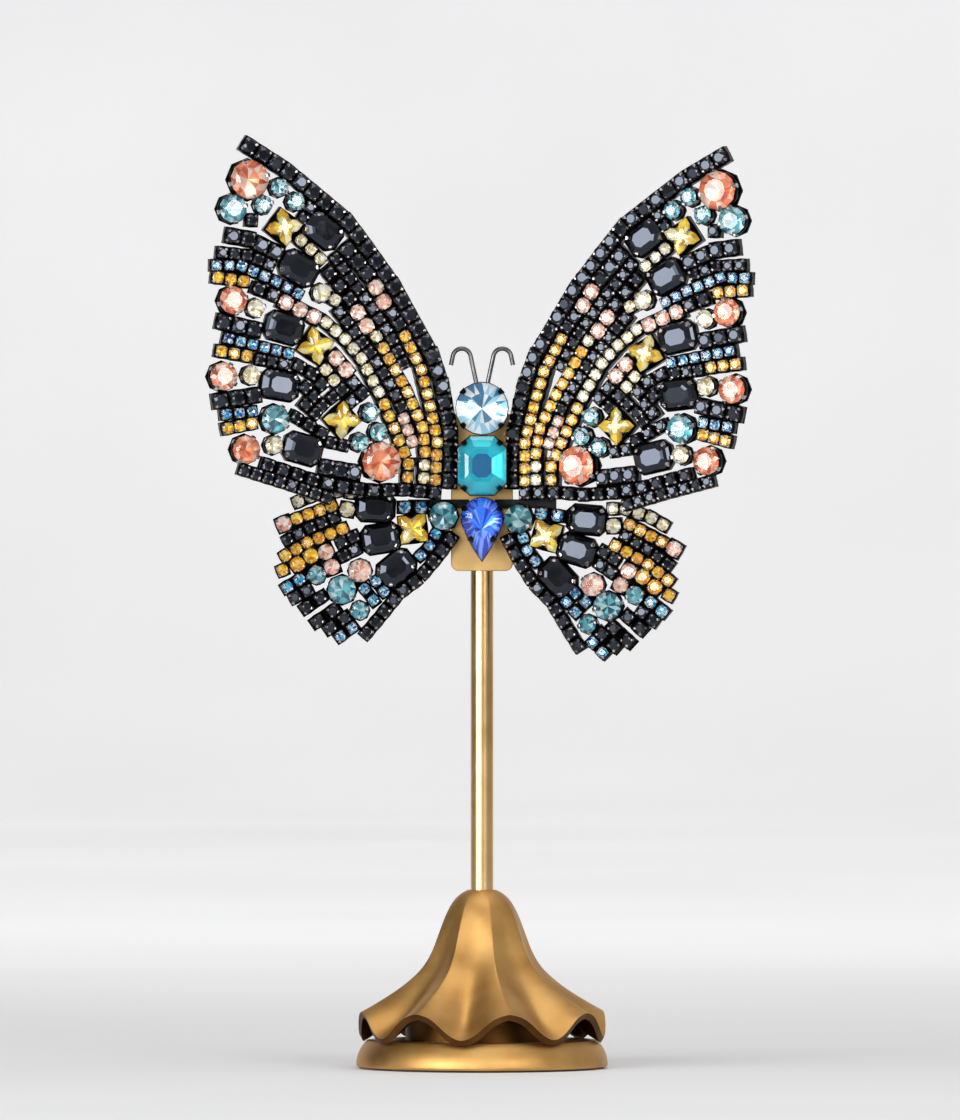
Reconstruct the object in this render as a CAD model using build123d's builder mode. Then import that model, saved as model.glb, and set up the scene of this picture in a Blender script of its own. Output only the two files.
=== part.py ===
from build123d import *
import os
from math import atan2, cos, degrees, hypot, radians, sin, tan

# Jewelled butterfly on a brass stand: claw-set stones on swept wings, a plate, a rod and a fluted foot

# Whole ornament, millimetres and degrees, +Z up, -Y towards the viewer, origin under the rod on the table
wing_span = 108.0
forewing_sweep_left = 13.0
forewing_sweep_right = 22.0
hindwing_sweep_left = 0.0
hindwing_sweep_right = 8.0

# Stand
disc_radius = 24.7
disc_thickness = 5.1
rim_strips = 4
disc_foot_inset = 0.4
disc_top_inset = 2.1
disc_step_radius = 15.0
disc_step_height = 4.0
felt_inset = 0.3
felt_thickness = 0.4
skirt_top = 35.0
skirt_inset = 0.4
skirt_wall = 1.2
skirt_petals = 8
flute_strips = 4
skirt_turn = -99.5
sleeve_radius = 2.8
rod_diameter = 4.5
tenon_diameter = 4.0
tenon_recess = 0.4
fit_clearance = 0.05
nut_flats = 7.0
nut_thickness = 2.0
washer_radius = 4.5
washer_thickness = 0.5
counterbore_radius = 6.0
cut_overrun = 1.0

# Plate, carriers and antennae
plate_width = 0.1125 * wing_span
plate_height = 0.287 * wing_span
plate_thickness = 1.2
plate_corner = 1.5
rod_lap = 0.8
sheet_thickness = 0.6
arm_height = 1.8
spine_width = 5.0
antenna_wire = 0.9
wire_facets = 8
antenna_tail = 1.9
forewing_bend = 0.0458 * wing_span
hindwing_bend = 0.038 * wing_span

# Stones and cups of the wings
chain_small = 0.0176 * wing_span
chain_middle = 0.0194 * wing_span
chain_large = 0.025 * wing_span
chain_rose = 0.0259 * wing_span
round_small = 0.0343 * wing_span
round_champagne = 0.0435 * wing_span
round_medium = 0.0537 * wing_span
round_large = 0.0741 * wing_span
round_facets = 8
star_side = 0.0481 * wing_span
octagon_length = 0.0685 * wing_span
octagon_width = 0.05 * wing_span
octagon_corner = 0.0139 * wing_span
cup_wall = 0.0028 * wing_span
cup_lap = 0.0009 * wing_span
cup_depth = 0.0241 * wing_span
solder_gap_area = 0.0001 * wing_span ** 2

# Body stones and their settings
head_diameter = 0.0954 * wing_span
head_facets = 16
thorax_width = 0.0889 * wing_span
thorax_height = 0.1074 * wing_span
thorax_corner = 0.0231 * wing_span
abdomen_width = 0.0741 * wing_span
abdomen_tip = 0.0787 * wing_span
pear_strips = 8
collet_depth = 0.038 * wing_span
rim_depth = 0.0111 * wing_span
seat_depth = 0.0083 * wing_span
body_girdle = 0.0037 * wing_span
body_crown = 0.0185 * wing_span
body_claw_width = 0.0083 * wing_span
body_claw_thickness = 0.0046 * wing_span
body_claw_sink = 0.0014 * wing_span
body_claw_height = 0.0139 * wing_span

# Shares of a stone's own size: crown height and table width, and the table of each body stone's own crown
crown_share = 0.30
octagon_crown_share = 0.20
table_share = 0.55
head_table_share = 0.25
thorax_table_share = 0.45
abdomen_table_share = 0.40

# A body setting's narrow collet, the stone's girdle and the seat in the rim, as shares of the rim's outline
collet_share = 0.74
girdle_share = 0.95
seat_share = 0.90

# How far up the foot's disc is widest, and how far up the plate the rod reaches, as shares of their heights
disc_belly_share = 0.14
rod_reach_share = 0.884

# Pear outline, as shares of its half width: where the round top ends and where each side bulges
PEAR_SHOULDER_SHARES = (0.97, -0.243)
PEAR_SIDE_SHARES = (0.58, -1.20)
PEAR_CLAW_TURNS = (25, -28)

# Level sections of the skirt: height as a share of its top, ridge of its radius, and flute of that ridge
SKIRT_SECTION_SHARES = (
    (1.000, 0.112, 1.00), (0.980, 0.172, 1.00), (0.943, 0.240, 0.99), (0.857, 0.311, 0.93),
    (0.743, 0.362, 0.90), (0.629, 0.427, 0.88), (0.557, 0.496, 0.86), (0.480, 0.620, 0.82),
    (0.386, 0.815, 0.78), (0.329, 0.988, 0.72), (0.262, 1.152, 0.70), (0.214, 1.305, 0.70),
    (0.174, 1.440, 0.70),
)

# Pixels of the reference picture: where its rod axis and table line are, and how wide the wings reach
AXIS_PX = 482
TABLE_PX = 1068
SPAN_PX = 550
mm_per_px = wing_span / SPAN_PX

# Rows of chain stones on the right forewing, in pixels: stone, size, count, path
FOREWING_ROWS_PX = (
    ("jet", chain_large, 27, ((516, 481), (516, 465), (518, 433), (528, 387), (539, 357), (556, 329),
                              (579, 290), (608, 252), (627, 228), (663, 200), (688, 181), (722, 161))),
    ("jet", chain_large, 3, ((624, 258), (605, 280))),
    ("rose", chain_rose, 2, ((596, 293), (588, 307))),
    ("jet", chain_middle, 2, ((579, 318), (572, 328))),
    ("amber", chain_middle, 13, ((566, 340), (549, 372), (539, 407), (530, 442), (530, 466), (530, 481))),
    ("jet", chain_small, 2, ((662, 218), (668, 229))),
    ("jet", chain_small, 8, ((635, 267), (606, 304), (584, 334))),
    ("jet", chain_small, 3, ((578, 344), (566, 367))),
    ("jet", chain_middle, 3, ((640, 282), (620, 306))),
    ("rose", chain_rose, 2, ((612, 319), (603, 332))),
    ("jonquil", chain_middle, 1, ((593, 342), (587, 353))),
    ("amber", chain_middle, 10, ((586, 353), (561, 395), (545, 429), (541, 454))),
    ("jonquil", chain_middle, 2, ((541, 467), (541, 480))),
    ("jet", chain_small, 10, ((629, 320), (598, 358), (578, 388), (566, 410))),
    ("rose", chain_middle, 3, ((563, 422), (554, 444))),
    ("jonquil", chain_middle, 8, ((641, 331), (622, 347), (606, 365), (588, 397))),
    ("amber", chain_middle, 7, ((582, 409), (567, 442), (556, 466), (556, 480))),
    ("rose", chain_rose, 2, ((630, 366), (620, 377))),
    ("jonquil", chain_middle, 2, ((639, 378), (631, 388))),
    ("rose", chain_large, 3, ((680, 314), (653, 326))),
    ("jonquil", chain_middle, 3, ((669, 251), (650, 268))),
    ("jonquil", chain_middle, 1, ((634, 308), (647, 302))),
    ("aurora", chain_small, 8, ((669, 304), (691, 293), (724, 280), (747, 281))),
    ("aurora", chain_small, 6, ((675, 364), (732, 353))),
    ("aurora", chain_small, 3, ((706, 424), (730, 428))),
    ("amber", chain_middle, 3, ((721, 295), (745, 293))),
    ("amber", chain_middle, 3, ((714, 369), (738, 366))),
    ("amber", chain_middle, 3, ((706, 436), (728, 442))),
    ("jet", chain_middle, 1, ((716, 234), (716, 252))),
    ("jet", chain_large, 4, ((692, 264), (717, 253), (733, 251))),
    ("jet", chain_small, 5, ((697, 277), (718, 269), (742, 268))),
    ("jet", chain_middle, 2, ((692, 307), (706, 302))),
    ("jet", chain_large, 3, ((708, 342), (737, 337))),
    ("jet", chain_small, 3, ((679, 375), (701, 372))),
    ("jet", chain_large, 3, ((705, 408), (736, 415))),
    ("jet", chain_middle, 3, ((664, 376), (651, 383), (642, 393))),
    ("jet", chain_small, 3, ((657, 397), (640, 414))),
    ("jet", chain_small, 2, ((656, 414), (646, 422))),
    ("jet", chain_small, 3, ((664, 427), (639, 441))),
    ("jet", chain_middle, 2, ((612, 389), (603, 399))),
    ("jet", chain_middle, 2, ((623, 397), (613, 408))),
    ("jet", chain_small, 1, ((631, 405), (640, 414))),
    ("jet", chain_small, 2, ((618, 452), (630, 450))),
    ("jet", chain_large, 3, ((607, 478), (633, 475))),
    ("jet", chain_middle, 12, ((529, 493.5), (558, 492.5), (587, 495), (617, 493), (645, 488), (688, 476))),
    ("jet", chain_small, 8, ((631, 504.5), (665, 494.5), (710, 482.5))),
)

# Larger stones of the right forewing, in pixels: stone, size, places
FOREWING_ROUNDS_PX = (
    ("peach", round_large, ((721, 194), (582, 466))),
    ("peach", round_medium, ((730, 315), (735, 391), (710, 462))),
    ("aqua", round_medium, ((735, 224), (684, 430))),
    ("aqua", round_small, ((692, 200), (676, 213), (706, 218), (595, 418), (586, 437), (603, 448))),
    ("jonquil", round_small, ((647, 302), (708, 321), (709, 388), (684, 456))),
)

# Squares and octagons, in pixels and degrees from level: place, turn
FOREWING_STARS_PX = (((686, 239), 34), ((650, 355), 30), ((621, 427), 45))
FOREWING_OCTAGONS_PX = (
    ((648, 240), 34), ((669, 279), 27), ((680, 339), 12), ((681, 396), 6), ((656, 458), 12),
)

HINDWING_ROWS_PX = (
    ("aurora", chain_middle, 2, ((543, 514), (559, 516))),
    ("jet", chain_middle, 10, ((510, 541), (520, 560), (535, 584), (553, 602), (569, 629), (579, 645))),
    ("aurora", chain_small, 3, ((525, 538), (529, 550), (537, 561))),
    ("aurora", chain_small, 2, ((577, 593), (568, 602))),
    ("aurora", chain_small, 2, ((587, 602), (577, 612))),
    ("rose", chain_rose, 2, ((630, 571), (622, 585))),
    ("rose", chain_rose, 1, ((675, 549), (663, 542))),
    ("jonquil", chain_middle, 5, ((614, 509), (626, 509), (652, 518), (664, 525))),
    ("jonquil", chain_large, 1, ((615, 526), (631, 525))),
    ("amber", chain_middle, 4, ((631, 525), (663, 542))),
    ("jet", chain_small, 5, ((627, 536), (650, 550), (669, 564))),
    ("amber", chain_middle, 6, ((617, 546), (649, 564), (669, 580))),
    ("amber", chain_large, 2, ((644, 577), (656, 587))),
    ("amber", chain_middle, 1, ((670, 595), (656, 587))),
    ("jet", chain_middle, 2, ((605, 552), (616, 559))),
    ("jet", chain_middle, 2, ((602, 565), (612, 572))),
    ("aurora", chain_middle, 2, ((652, 602), (663, 611))),
    ("jet", chain_middle, 2, ((629, 617), (641, 628))),
    ("jet", chain_middle, 2, ((643, 612), (654, 620))),
    ("jet", chain_middle, 2, ((615, 628), (628, 640))),
    ("jet", chain_middle, 2, ((603, 634), (615, 645))),
    ("aurora", chain_small, 2, ((594, 642), (604, 652))),
)
HINDWING_ROUNDS_PX = (
    ("aqua", round_medium, ((520, 519), (609, 606))),
    ("aqua", round_small, ((589, 624), (636, 595))),
    ("rose", round_champagne, ((594, 585),)),
)
HINDWING_STARS_PX = (((548, 536), -15),)
HINDWING_OCTAGONS_PX = (((588, 520), -5), ((578, 550), -17), ((559, 577), -47))

# The left wings are lifted a little from a true mirror image: degrees about a point of the right wing
FOREWING_LIFT = 3.2
FOREWING_PIVOT_PX = (514, 470)
HINDWING_LIFT = 8.0
HINDWING_PIVOT_PX = (499, 515)

# Body and carrier places in pixels of the same picture
HEAD_PX = 409
THORAX_PX = 466
ABDOMEN_PX = 518
PLATE_BOTTOM_PX = 571
SPINE_PX = (398, 548)
FORE_ARM_PX = (462, 590)
HIND_ARM_PX = (504, 556)
ANTENNA_FOOT_PX = (479.5, 397.5)
ANTENNA_HOOK_START_PX = (470.5, 356)
ANTENNA_HOOK_END_PX = (453, 356)

disc_foot_radius = disc_radius - disc_foot_inset
disc_top_radius = disc_radius - disc_top_inset
felt_radius = disc_foot_radius - felt_inset
skirt_radius = disc_radius - skirt_inset
rod_radius = rod_diameter / 2
tenon_bore = tenon_diameter / 2 + fit_clearance
disc_top = felt_thickness + disc_thickness
step_top = disc_top + disc_step_height
nut_bottom = felt_thickness + tenon_recess
counterbore_top = nut_bottom + nut_thickness + washer_thickness
plate_bottom = (TABLE_PX - PLATE_BOTTOM_PX) * mm_per_px
rod_top = plate_bottom + plate_height * rod_reach_share
plate_back = rod_radius - rod_lap
plate_front = plate_back + plate_thickness
hind_front = plate_front + sheet_thickness
fore_front = hind_front + sheet_thickness

os.makedirs("parts", exist_ok=True)


def keep(builder, name):
    builder.part.label = name
    export_step(builder.part, f"parts/{name}.step")


def height_of(y_px):
    return (TABLE_PX - y_px) * mm_per_px


def across_of(x_px):
    return (x_px - AXIS_PX) * mm_per_px


class Wing:
    """One wing: its side, its back plane and how far it is lifted from a true mirror image."""

    def __init__(self, side, sweeps, bend, back, lift, pivot_px):
        sweep_left, sweep_right = (radians(sweep) for sweep in sweeps)
        sweep = sweep_left if side < 0 else sweep_right
        self.side = side
        self.bend = bend
        self.foreshortening = cos(sweep_right)
        self.lift = lift if side < 0 else 0
        self.pivot = self.spread(pivot_px)
        self.plane = Plane(
            origin=(side * bend, -back, 0),
            x_dir=(cos(sweep), -side * sin(sweep), 0),
            z_dir=(-side * sin(sweep), -cos(sweep), 0),
        )

    def spread(self, place_px):
        """How far out along the wing, and how high, a pixel of the right wing lies."""
        return (across_of(place_px[0]) - self.bend) / self.foreshortening, height_of(place_px[1])

    def place(self, place_px):
        """A pixel of the right wing as a point of this wing's own sketch."""
        out, up = (value - centre for value, centre in zip(self.spread(place_px), self.pivot))
        turn = radians(self.lift)
        return (
            self.side * (self.pivot[0] + out * cos(turn) - up * sin(turn)),
            self.pivot[1] + out * sin(turn) + up * cos(turn),
        )


def along(points, count):
    """Evenly spaced places on a path of straight runs, each with its direction, and the spacing."""
    runs = [hypot(b[0] - a[0], b[1] - a[1]) for a, b in zip(points, points[1:])]
    step = sum(runs) / max(count - 1, 1)
    places = []
    for index in range(count):
        left = index * step
        for run, a, b in zip(runs, points, points[1:]):
            if left <= run or b is points[-1]:
                break
            left -= run
        share = left / run
        place = (a[0] + (b[0] - a[0]) * share, a[1] + (b[1] - a[1]) * share)
        places.append((place, degrees(atan2(b[1] - a[1], b[0] - a[0]))))
    return places, step


def cut_corners(length, width, corner):
    """A rectangle with its corners cut off."""
    x, y = length / 2, width / 2
    return Polygon(
        (x, y - corner), (x - corner, y), (corner - x, y), (-x, y - corner),
        (-x, corner - y), (corner - x, -y), (x - corner, -y), (x, corner - y),
        mode=Mode.PRIVATE,
    )


def outline(cut, size, grow):
    """A stone's girdle outline, or its cup's when grown by the cup's wall."""
    side = size + 2 * grow
    if cut == "octagon":
        return cut_corners(octagon_length + 2 * grow, side, octagon_corner)
    if cut == "round":
        return RegularPolygon(side / 2, round_facets, mode=Mode.PRIVATE)
    return Rectangle(side, side, mode=Mode.PRIVATE)


def cut_stone(girdle, girdle_height, crown_height, inset):
    """One stone as cut: a straight girdle, then a crown that draws in to a flat table."""
    with BuildPart() as stone:
        with BuildSketch(Plane.XY.offset(girdle_height)):
            add(girdle)
        extrude(amount=crown_height, taper=degrees(atan2(inset, crown_height)))
        if girdle_height:
            with BuildSketch():
                add(girdle)
            extrude(amount=girdle_height)
    return stone.part


def wing_stones(wing, rows_px, rounds_px, stars_px, octagons_px):
    """Every stone of a wing: colour, cut, size, place, turn and the length of its cup along its row."""
    stones = []
    for colour, size, count, path_px in rows_px:
        places, step = along([wing.place(place) for place in path_px], count)
        cup = size + 2 * cup_wall
        length = max(step + cup_lap, cup) if count > 1 else cup
        stones += [(colour, "square", size, place, turn, length) for place, turn in places]
    for colour, size, places_px in rounds_px:
        stones += [(colour, "round", size, wing.place(place), 0, size) for place in places_px]
    for cut, size, length, places_px in (
        ("star", star_side, star_side, stars_px), ("octagon", octagon_width, octagon_length, octagons_px),
    ):
        for place, turn in places_px:
            stones.append((cut, cut, size, wing.place(place), wing.side * turn - wing.lift, length))
    return stones


def make_wing(name, wing, rows_px, rounds_px, stars_px, octagons_px):
    """One sheet of soldered cups, and the wing's stones in groups of one colour on its front."""
    stones = wing_stones(wing, rows_px, rounds_px, stars_px, octagons_px)

    with BuildPart() as setting:
        with BuildSketch(wing.plane) as sheet:
            cups = []
            for colour, cut, size, place, turn, length in stones:
                cup = outline(cut, size, cup_wall)
                if cut == "square":
                    cup = Rectangle(length, size + 2 * cup_wall, mode=Mode.PRIVATE)
                cups.append(Location((*place, 0), (0, 0, turn)) * cup)
            add(cups)
            gaps = [Face(wire) for face in sheet.faces() for wire in face.inner_wires()]
            add([gap for gap in gaps if gap.area < solder_gap_area])
        extrude(amount=cup_depth)
    keep(setting, f"{name}_setting")

    seats = wing.plane.offset(cup_depth).location
    seated = {}
    for colour, cut, size, place, turn, length in stones:
        height = size * (octagon_crown_share if cut == "octagon" else crown_share)
        stone = cut_stone(outline(cut, size, 0), 0, height, size * (1 - table_share) / 2)
        seated.setdefault(colour, []).append(seats * Location((*place, 0), (0, 0, turn)) * stone)
    for colour, group in seated.items():
        with BuildPart() as crowns:
            add(group)
        keep(crowns, f"{name}_{colour}")


# Wings: the forewings come further forward than the hindwings, which lie behind them
forewing_sweeps = (forewing_sweep_left, forewing_sweep_right)
hindwing_sweeps = (hindwing_sweep_left, hindwing_sweep_right)
for word, side in (("left", -1), ("right", 1)):
    make_wing(
        f"forewing_{word}",
        Wing(side, forewing_sweeps, forewing_bend, fore_front, FOREWING_LIFT, FOREWING_PIVOT_PX),
        FOREWING_ROWS_PX, FOREWING_ROUNDS_PX, FOREWING_STARS_PX, FOREWING_OCTAGONS_PX,
    )
    make_wing(
        f"hindwing_{word}",
        Wing(side, hindwing_sweeps, hindwing_bend, hind_front, HINDWING_LIFT, HINDWING_PIVOT_PX),
        HINDWING_ROWS_PX, HINDWING_ROUNDS_PX, HINDWING_STARS_PX, HINDWING_OCTAGONS_PX,
    )


# Carriers: two flat crosses of dark sheet on the plate, whose arms bend to lie behind the wings
def half_arm(front, bend, sweep, reach):
    """The plan of one bent arm, from the bend on its front round to the bend on its back."""
    lean = radians(sweep)
    length = (reach - bend) / cos(lean)
    tip = (reach, -front - length * sin(lean))
    back_tip = (tip[0] + sheet_thickness * sin(lean), tip[1] + sheet_thickness * cos(lean))
    back_bend = (bend + sheet_thickness * tan(lean / 2), sheet_thickness - front)
    return [(bend, -front), tip, back_tip, back_bend]


def make_carrier(name, front, bend, sweeps, arm_px):
    level_px, reach_px = arm_px
    left, right = (half_arm(front, bend, sweep, across_of(reach_px)) for sweep in sweeps)
    spine_top, spine_bottom = (height_of(y_px) for y_px in SPINE_PX)
    with BuildPart() as carrier:
        with BuildSketch(Plane.XY.offset(height_of(level_px) - arm_height / 2)):
            Polygon(*right, *[(-x, y) for x, y in reversed(left)], align=None)
        extrude(amount=arm_height)
        with BuildSketch(Plane.XY.offset(spine_bottom)):
            with Locations((0, sheet_thickness / 2 - front)):
                Rectangle(spine_width, sheet_thickness)
        extrude(amount=spine_top - spine_bottom)
    keep(carrier, name)


make_carrier("hindwing_carrier", hind_front, hindwing_bend, hindwing_sweeps, HIND_ARM_PX)
make_carrier("forewing_carrier", fore_front, forewing_bend, forewing_sweeps, FORE_ARM_PX)


# Body: three large stones, each let into its own deep setting with claws round the rim
def facing(depth, level):
    """An upright plane that faces the viewer, so far in front of the rod's axis."""
    return Plane(origin=(0, -depth, level), x_dir=(1, 0, 0), z_dir=(0, -1, 0))


def make_body(name, rim, level_px, table_inset, claws):
    """A narrow collet that opens into a rim with claws, and the stone let into that rim."""
    back = facing(fore_front, height_of(level_px))
    rim_back = back.offset(collet_depth)
    seat_floor = rim_back.offset(rim_depth - seat_depth)
    collet, girdle, seat = (
        scale(rim, by=share, mode=Mode.PRIVATE) for share in (collet_share, girdle_share, seat_share)
    )
    with BuildPart() as setting:
        with BuildSketch(back):
            add(collet)
        extrude(amount=collet_depth)
        with BuildSketch(rim_back):
            add(rim)
        extrude(amount=rim_depth)
        with BuildSketch(seat_floor):
            add(seat)
        extrude(amount=seat_depth, mode=Mode.SUBTRACT)
        with BuildSketch(rim_back):
            for place, turn in claws:
                with Locations(place):
                    Rectangle(body_claw_thickness, body_claw_width, rotation=turn)
        extrude(amount=rim_depth + body_claw_height)
    keep(setting, f"{name}_setting")

    with BuildPart() as stone:
        with BuildSketch():
            add(seat)
        extrude(amount=seat_depth)
        add(Location((0, 0, seat_depth)) * cut_stone(girdle, body_girdle, body_crown, table_inset))
    with BuildPart() as seated:
        add(seat_floor.location * stone.part)
    keep(seated, f"{name}_stone")


def outward(place, turn):
    """A claw's middle, so that it is sunk a little into a point of the rim."""
    x, y = place
    step = body_claw_thickness / 2 - body_claw_sink
    return (x + step * cos(radians(turn)), y + step * sin(radians(turn))), turn


corner_turns = (45, 135, 225, 315)
head_flat = head_diameter / 2 * cos(radians(180 / head_facets))
head_claws = [
    outward((head_flat * cos(radians(turn)), head_flat * sin(radians(turn))), turn)
    for turn in (turn + 180 / head_facets for turn in corner_turns)
]
make_body(
    "head", RegularPolygon(head_diameter / 2, head_facets), HEAD_PX,
    head_diameter / 2 * (1 - head_table_share), head_claws,
)

corner_x = (thorax_width - thorax_corner) / 2
corner_y = (thorax_height - thorax_corner) / 2
thorax_claws = [
    outward((corner_x * (1 if cos(radians(turn)) > 0 else -1), corner_y * (1 if turn < 180 else -1)), turn)
    for turn in corner_turns
]
make_body(
    "thorax", cut_corners(thorax_width, thorax_height, thorax_corner), THORAX_PX,
    thorax_width / 2 * (1 - thorax_table_share), thorax_claws,
)

half_width = abdomen_width / 2
shoulder_x, shoulder_y = (share * half_width for share in PEAR_SHOULDER_SHARES)
side_x, side_y = (share * half_width for share in PEAR_SIDE_SHARES)
with BuildSketch() as pear:
    with BuildLine():
        top = ThreePointArc(
            (shoulder_x, shoulder_y), (0, half_width), (-shoulder_x, shoulder_y), mode=Mode.PRIVATE,
        )
        left = ThreePointArc(
            (-shoulder_x, shoulder_y), (-side_x, side_y), (0, -abdomen_tip), mode=Mode.PRIVATE,
        )
        right = ThreePointArc(
            (0, -abdomen_tip), (side_x, side_y), (shoulder_x, shoulder_y), mode=Mode.PRIVATE,
        )
        Polyline(*[arc @ (strip / pear_strips) for arc in (top, left, right) for strip in range(pear_strips)],
                 close=True)
    make_face()
top_turn, low_turn = PEAR_CLAW_TURNS
top_place = (half_width * cos(radians(top_turn)), half_width * sin(radians(top_turn)))
abdomen_claws = [
    outward(top_place, top_turn), outward((-top_place[0], top_place[1]), 180 - top_turn),
    outward((side_x, side_y), low_turn), outward((-side_x, side_y), 180 - low_turn),
]
make_body("abdomen", pear.sketch, ABDOMEN_PX, half_width * (1 - abdomen_table_share), abdomen_claws)


# Antennae: hooked wires behind the head's setting, standing on the carriers' top edge
def make_antenna(name, side):
    foot, hook_start, hook_end = (
        (-side * across_of(x_px), height_of(y_px))
        for x_px, y_px in (ANTENNA_FOOT_PX, ANTENNA_HOOK_START_PX, ANTENNA_HOOK_END_PX)
    )
    with BuildPart() as wire:
        with BuildLine() as path:
            stem = Line(foot, hook_start)
            hook = TangentArc(hook_start, hook_end, tangent=stem % 1)
            Line(hook @ 1, hook @ 1 + (hook % 1) * antenna_tail)
        with BuildSketch(Plane(origin=path.line @ 0, z_dir=path.line % 0)):
            RegularPolygon(antenna_wire / 2, wire_facets)
        sweep()
    with BuildPart() as antenna:
        add(facing(fore_front - antenna_wire / 2, 0).location * wire.part)
    keep(antenna, name)


make_antenna("antenna_left", -1)
make_antenna("antenna_right", 1)

# Plate and rod: the rod's front is cut flat where the plate laps it, and a thinner tenon holds the nut
with BuildPart() as back_plate:
    with BuildSketch(facing(plate_back, plate_bottom + plate_height / 2)):
        RectangleRounded(plate_width, plate_height, plate_corner)
    extrude(amount=plate_thickness)
keep(back_plate, "back_plate")

with BuildPart() as stem_rod:
    with BuildSketch(Plane.XY.offset(skirt_top)):
        Circle(rod_radius)
    extrude(amount=rod_top - skirt_top)
    with BuildSketch(Plane.XY.offset(plate_bottom)):
        with Locations((0, -plate_back - rod_lap / 2)):
            Rectangle(rod_diameter, rod_lap)
    extrude(amount=rod_top - plate_bottom, mode=Mode.SUBTRACT)
    with BuildSketch(Plane.XY.offset(nut_bottom)):
        Circle(tenon_diameter / 2)
    extrude(amount=skirt_top - nut_bottom)
keep(stem_rod, "stem_rod")

# Foot: felt, and a rounded disc with a step inside the skirt and a counterbore for the nut and washer
with BuildPart() as felt_pad:
    with BuildSketch():
        Circle(felt_radius)
    extrude(amount=felt_thickness)
keep(felt_pad, "felt_pad")

with BuildPart() as base_disc:
    with BuildSketch(Plane.XZ):
        with BuildLine():
            rim = ThreePointArc(
                (disc_foot_radius, felt_thickness),
                (disc_radius, felt_thickness + disc_thickness * disc_belly_share),
                (disc_top_radius, disc_top),
                mode=Mode.PRIVATE,
            )
            rounding = [rim @ (strip / rim_strips) for strip in range(rim_strips + 1)]
            Polyline(
                (0, felt_thickness), *rounding, (disc_step_radius, disc_top), (disc_step_radius, step_top),
                (0, step_top), close=True,
            )
        make_face()
    revolve(axis=Axis.Z)
    with BuildSketch(Plane.XY.offset(felt_thickness)):
        Circle(counterbore_radius)
    extrude(amount=counterbore_top - felt_thickness, mode=Mode.SUBTRACT)
    with BuildSketch(Plane.XY.offset(counterbore_top)):
        Circle(tenon_bore)
    extrude(amount=step_top + cut_overrun - counterbore_top, mode=Mode.SUBTRACT)
keep(base_disc, "base_disc")

with BuildPart() as stem_nut:
    with BuildSketch(Plane.XY.offset(nut_bottom)):
        RegularPolygon(nut_flats / 2, 6, major_radius=False)
        Circle(tenon_bore, mode=Mode.SUBTRACT)
    extrude(amount=nut_thickness)
keep(stem_nut, "stem_nut")

with BuildPart() as stem_washer:
    with BuildSketch(Plane.XY.offset(nut_bottom + nut_thickness)):
        Circle(washer_radius)
        Circle(tenon_bore, mode=Mode.SUBTRACT)
    extrude(amount=washer_thickness)
keep(stem_washer, "stem_washer")


# Skirt: concave flutes that meet in ridges, from a round dome down to a hem that one cylinder trims
def fluted_section(height_share, ridge_share, flute_share, wall):
    """The corners of one level section, drawn in by a wall at the sides and lowered by it."""
    ridge = skirt_radius * ridge_share
    flute = ridge * flute_share - wall
    ridge = ridge - wall
    half_turn = 180 / skirt_petals
    corners = []
    for petal in range(skirt_petals):
        turn = skirt_turn + 2 * petal * half_turn
        arc = Edge.make_three_point_arc(
            Vector(ridge, 0).rotate(Axis.Z, turn - half_turn),
            Vector(flute, 0).rotate(Axis.Z, turn),
            Vector(ridge, 0).rotate(Axis.Z, turn + half_turn),
        )
        corners += [arc @ (strip / flute_strips) for strip in range(flute_strips)]
    return [corner + Vector(0, 0, skirt_top * height_share - wall) for corner in corners]


def fluted_bell(section_shares, wall):
    """A solid bell of flat facets through level sections."""
    rings = [fluted_section(*shares, wall) for shares in section_shares]
    facets = [Face(Wire.make_polygon(ring)) for ring in (rings[0], rings[-1])]
    for upper, lower in zip(rings, rings[1:]):
        ahead = zip(upper, upper[1:] + upper[:1], lower, lower[1:] + lower[:1])
        for strip, (a, b, c, d) in enumerate(ahead):
            toward_flute = strip % flute_strips < flute_strips / 2
            halves = ((a, b, d), (a, d, c)) if toward_flute else ((a, b, c), (b, d, c))
            facets += [Face(Wire.make_polygon(half)) for half in halves]
    with BuildPart() as bell:
        add(Solid(Shell(facets)))
    return bell.part


inside_shares = SKIRT_SECTION_SHARES[1:]
ceiling = skirt_top * inside_shares[0][0] - skirt_wall
outside_bell = fluted_bell(SKIRT_SECTION_SHARES, 0)
inside_bell = fluted_bell(inside_shares, skirt_wall)
with BuildPart() as petal_skirt:
    add(outside_bell)
    add(inside_bell, mode=Mode.SUBTRACT)
    with BuildSketch():
        Circle(skirt_radius)
    extrude(amount=skirt_top, mode=Mode.INTERSECT)
    with BuildSketch(Plane.XY.offset(ceiling)):
        Circle(tenon_bore)
    extrude(amount=skirt_top + cut_overrun - ceiling, mode=Mode.SUBTRACT)
keep(petal_skirt, "petal_skirt")

with BuildPart() as spacer_sleeve:
    with BuildSketch(Plane.XY.offset(step_top)):
        Circle(sleeve_radius)
        Circle(tenon_bore, mode=Mode.SUBTRACT)
    extrude(amount=ceiling - step_top)
keep(spacer_sleeve, "spacer_sleeve")
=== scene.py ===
import random
from collections import namedtuple
from math import atan2, cos, pi, radians, sin, tau

import bmesh
import bpy
from mathutils import Matrix, Vector


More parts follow.
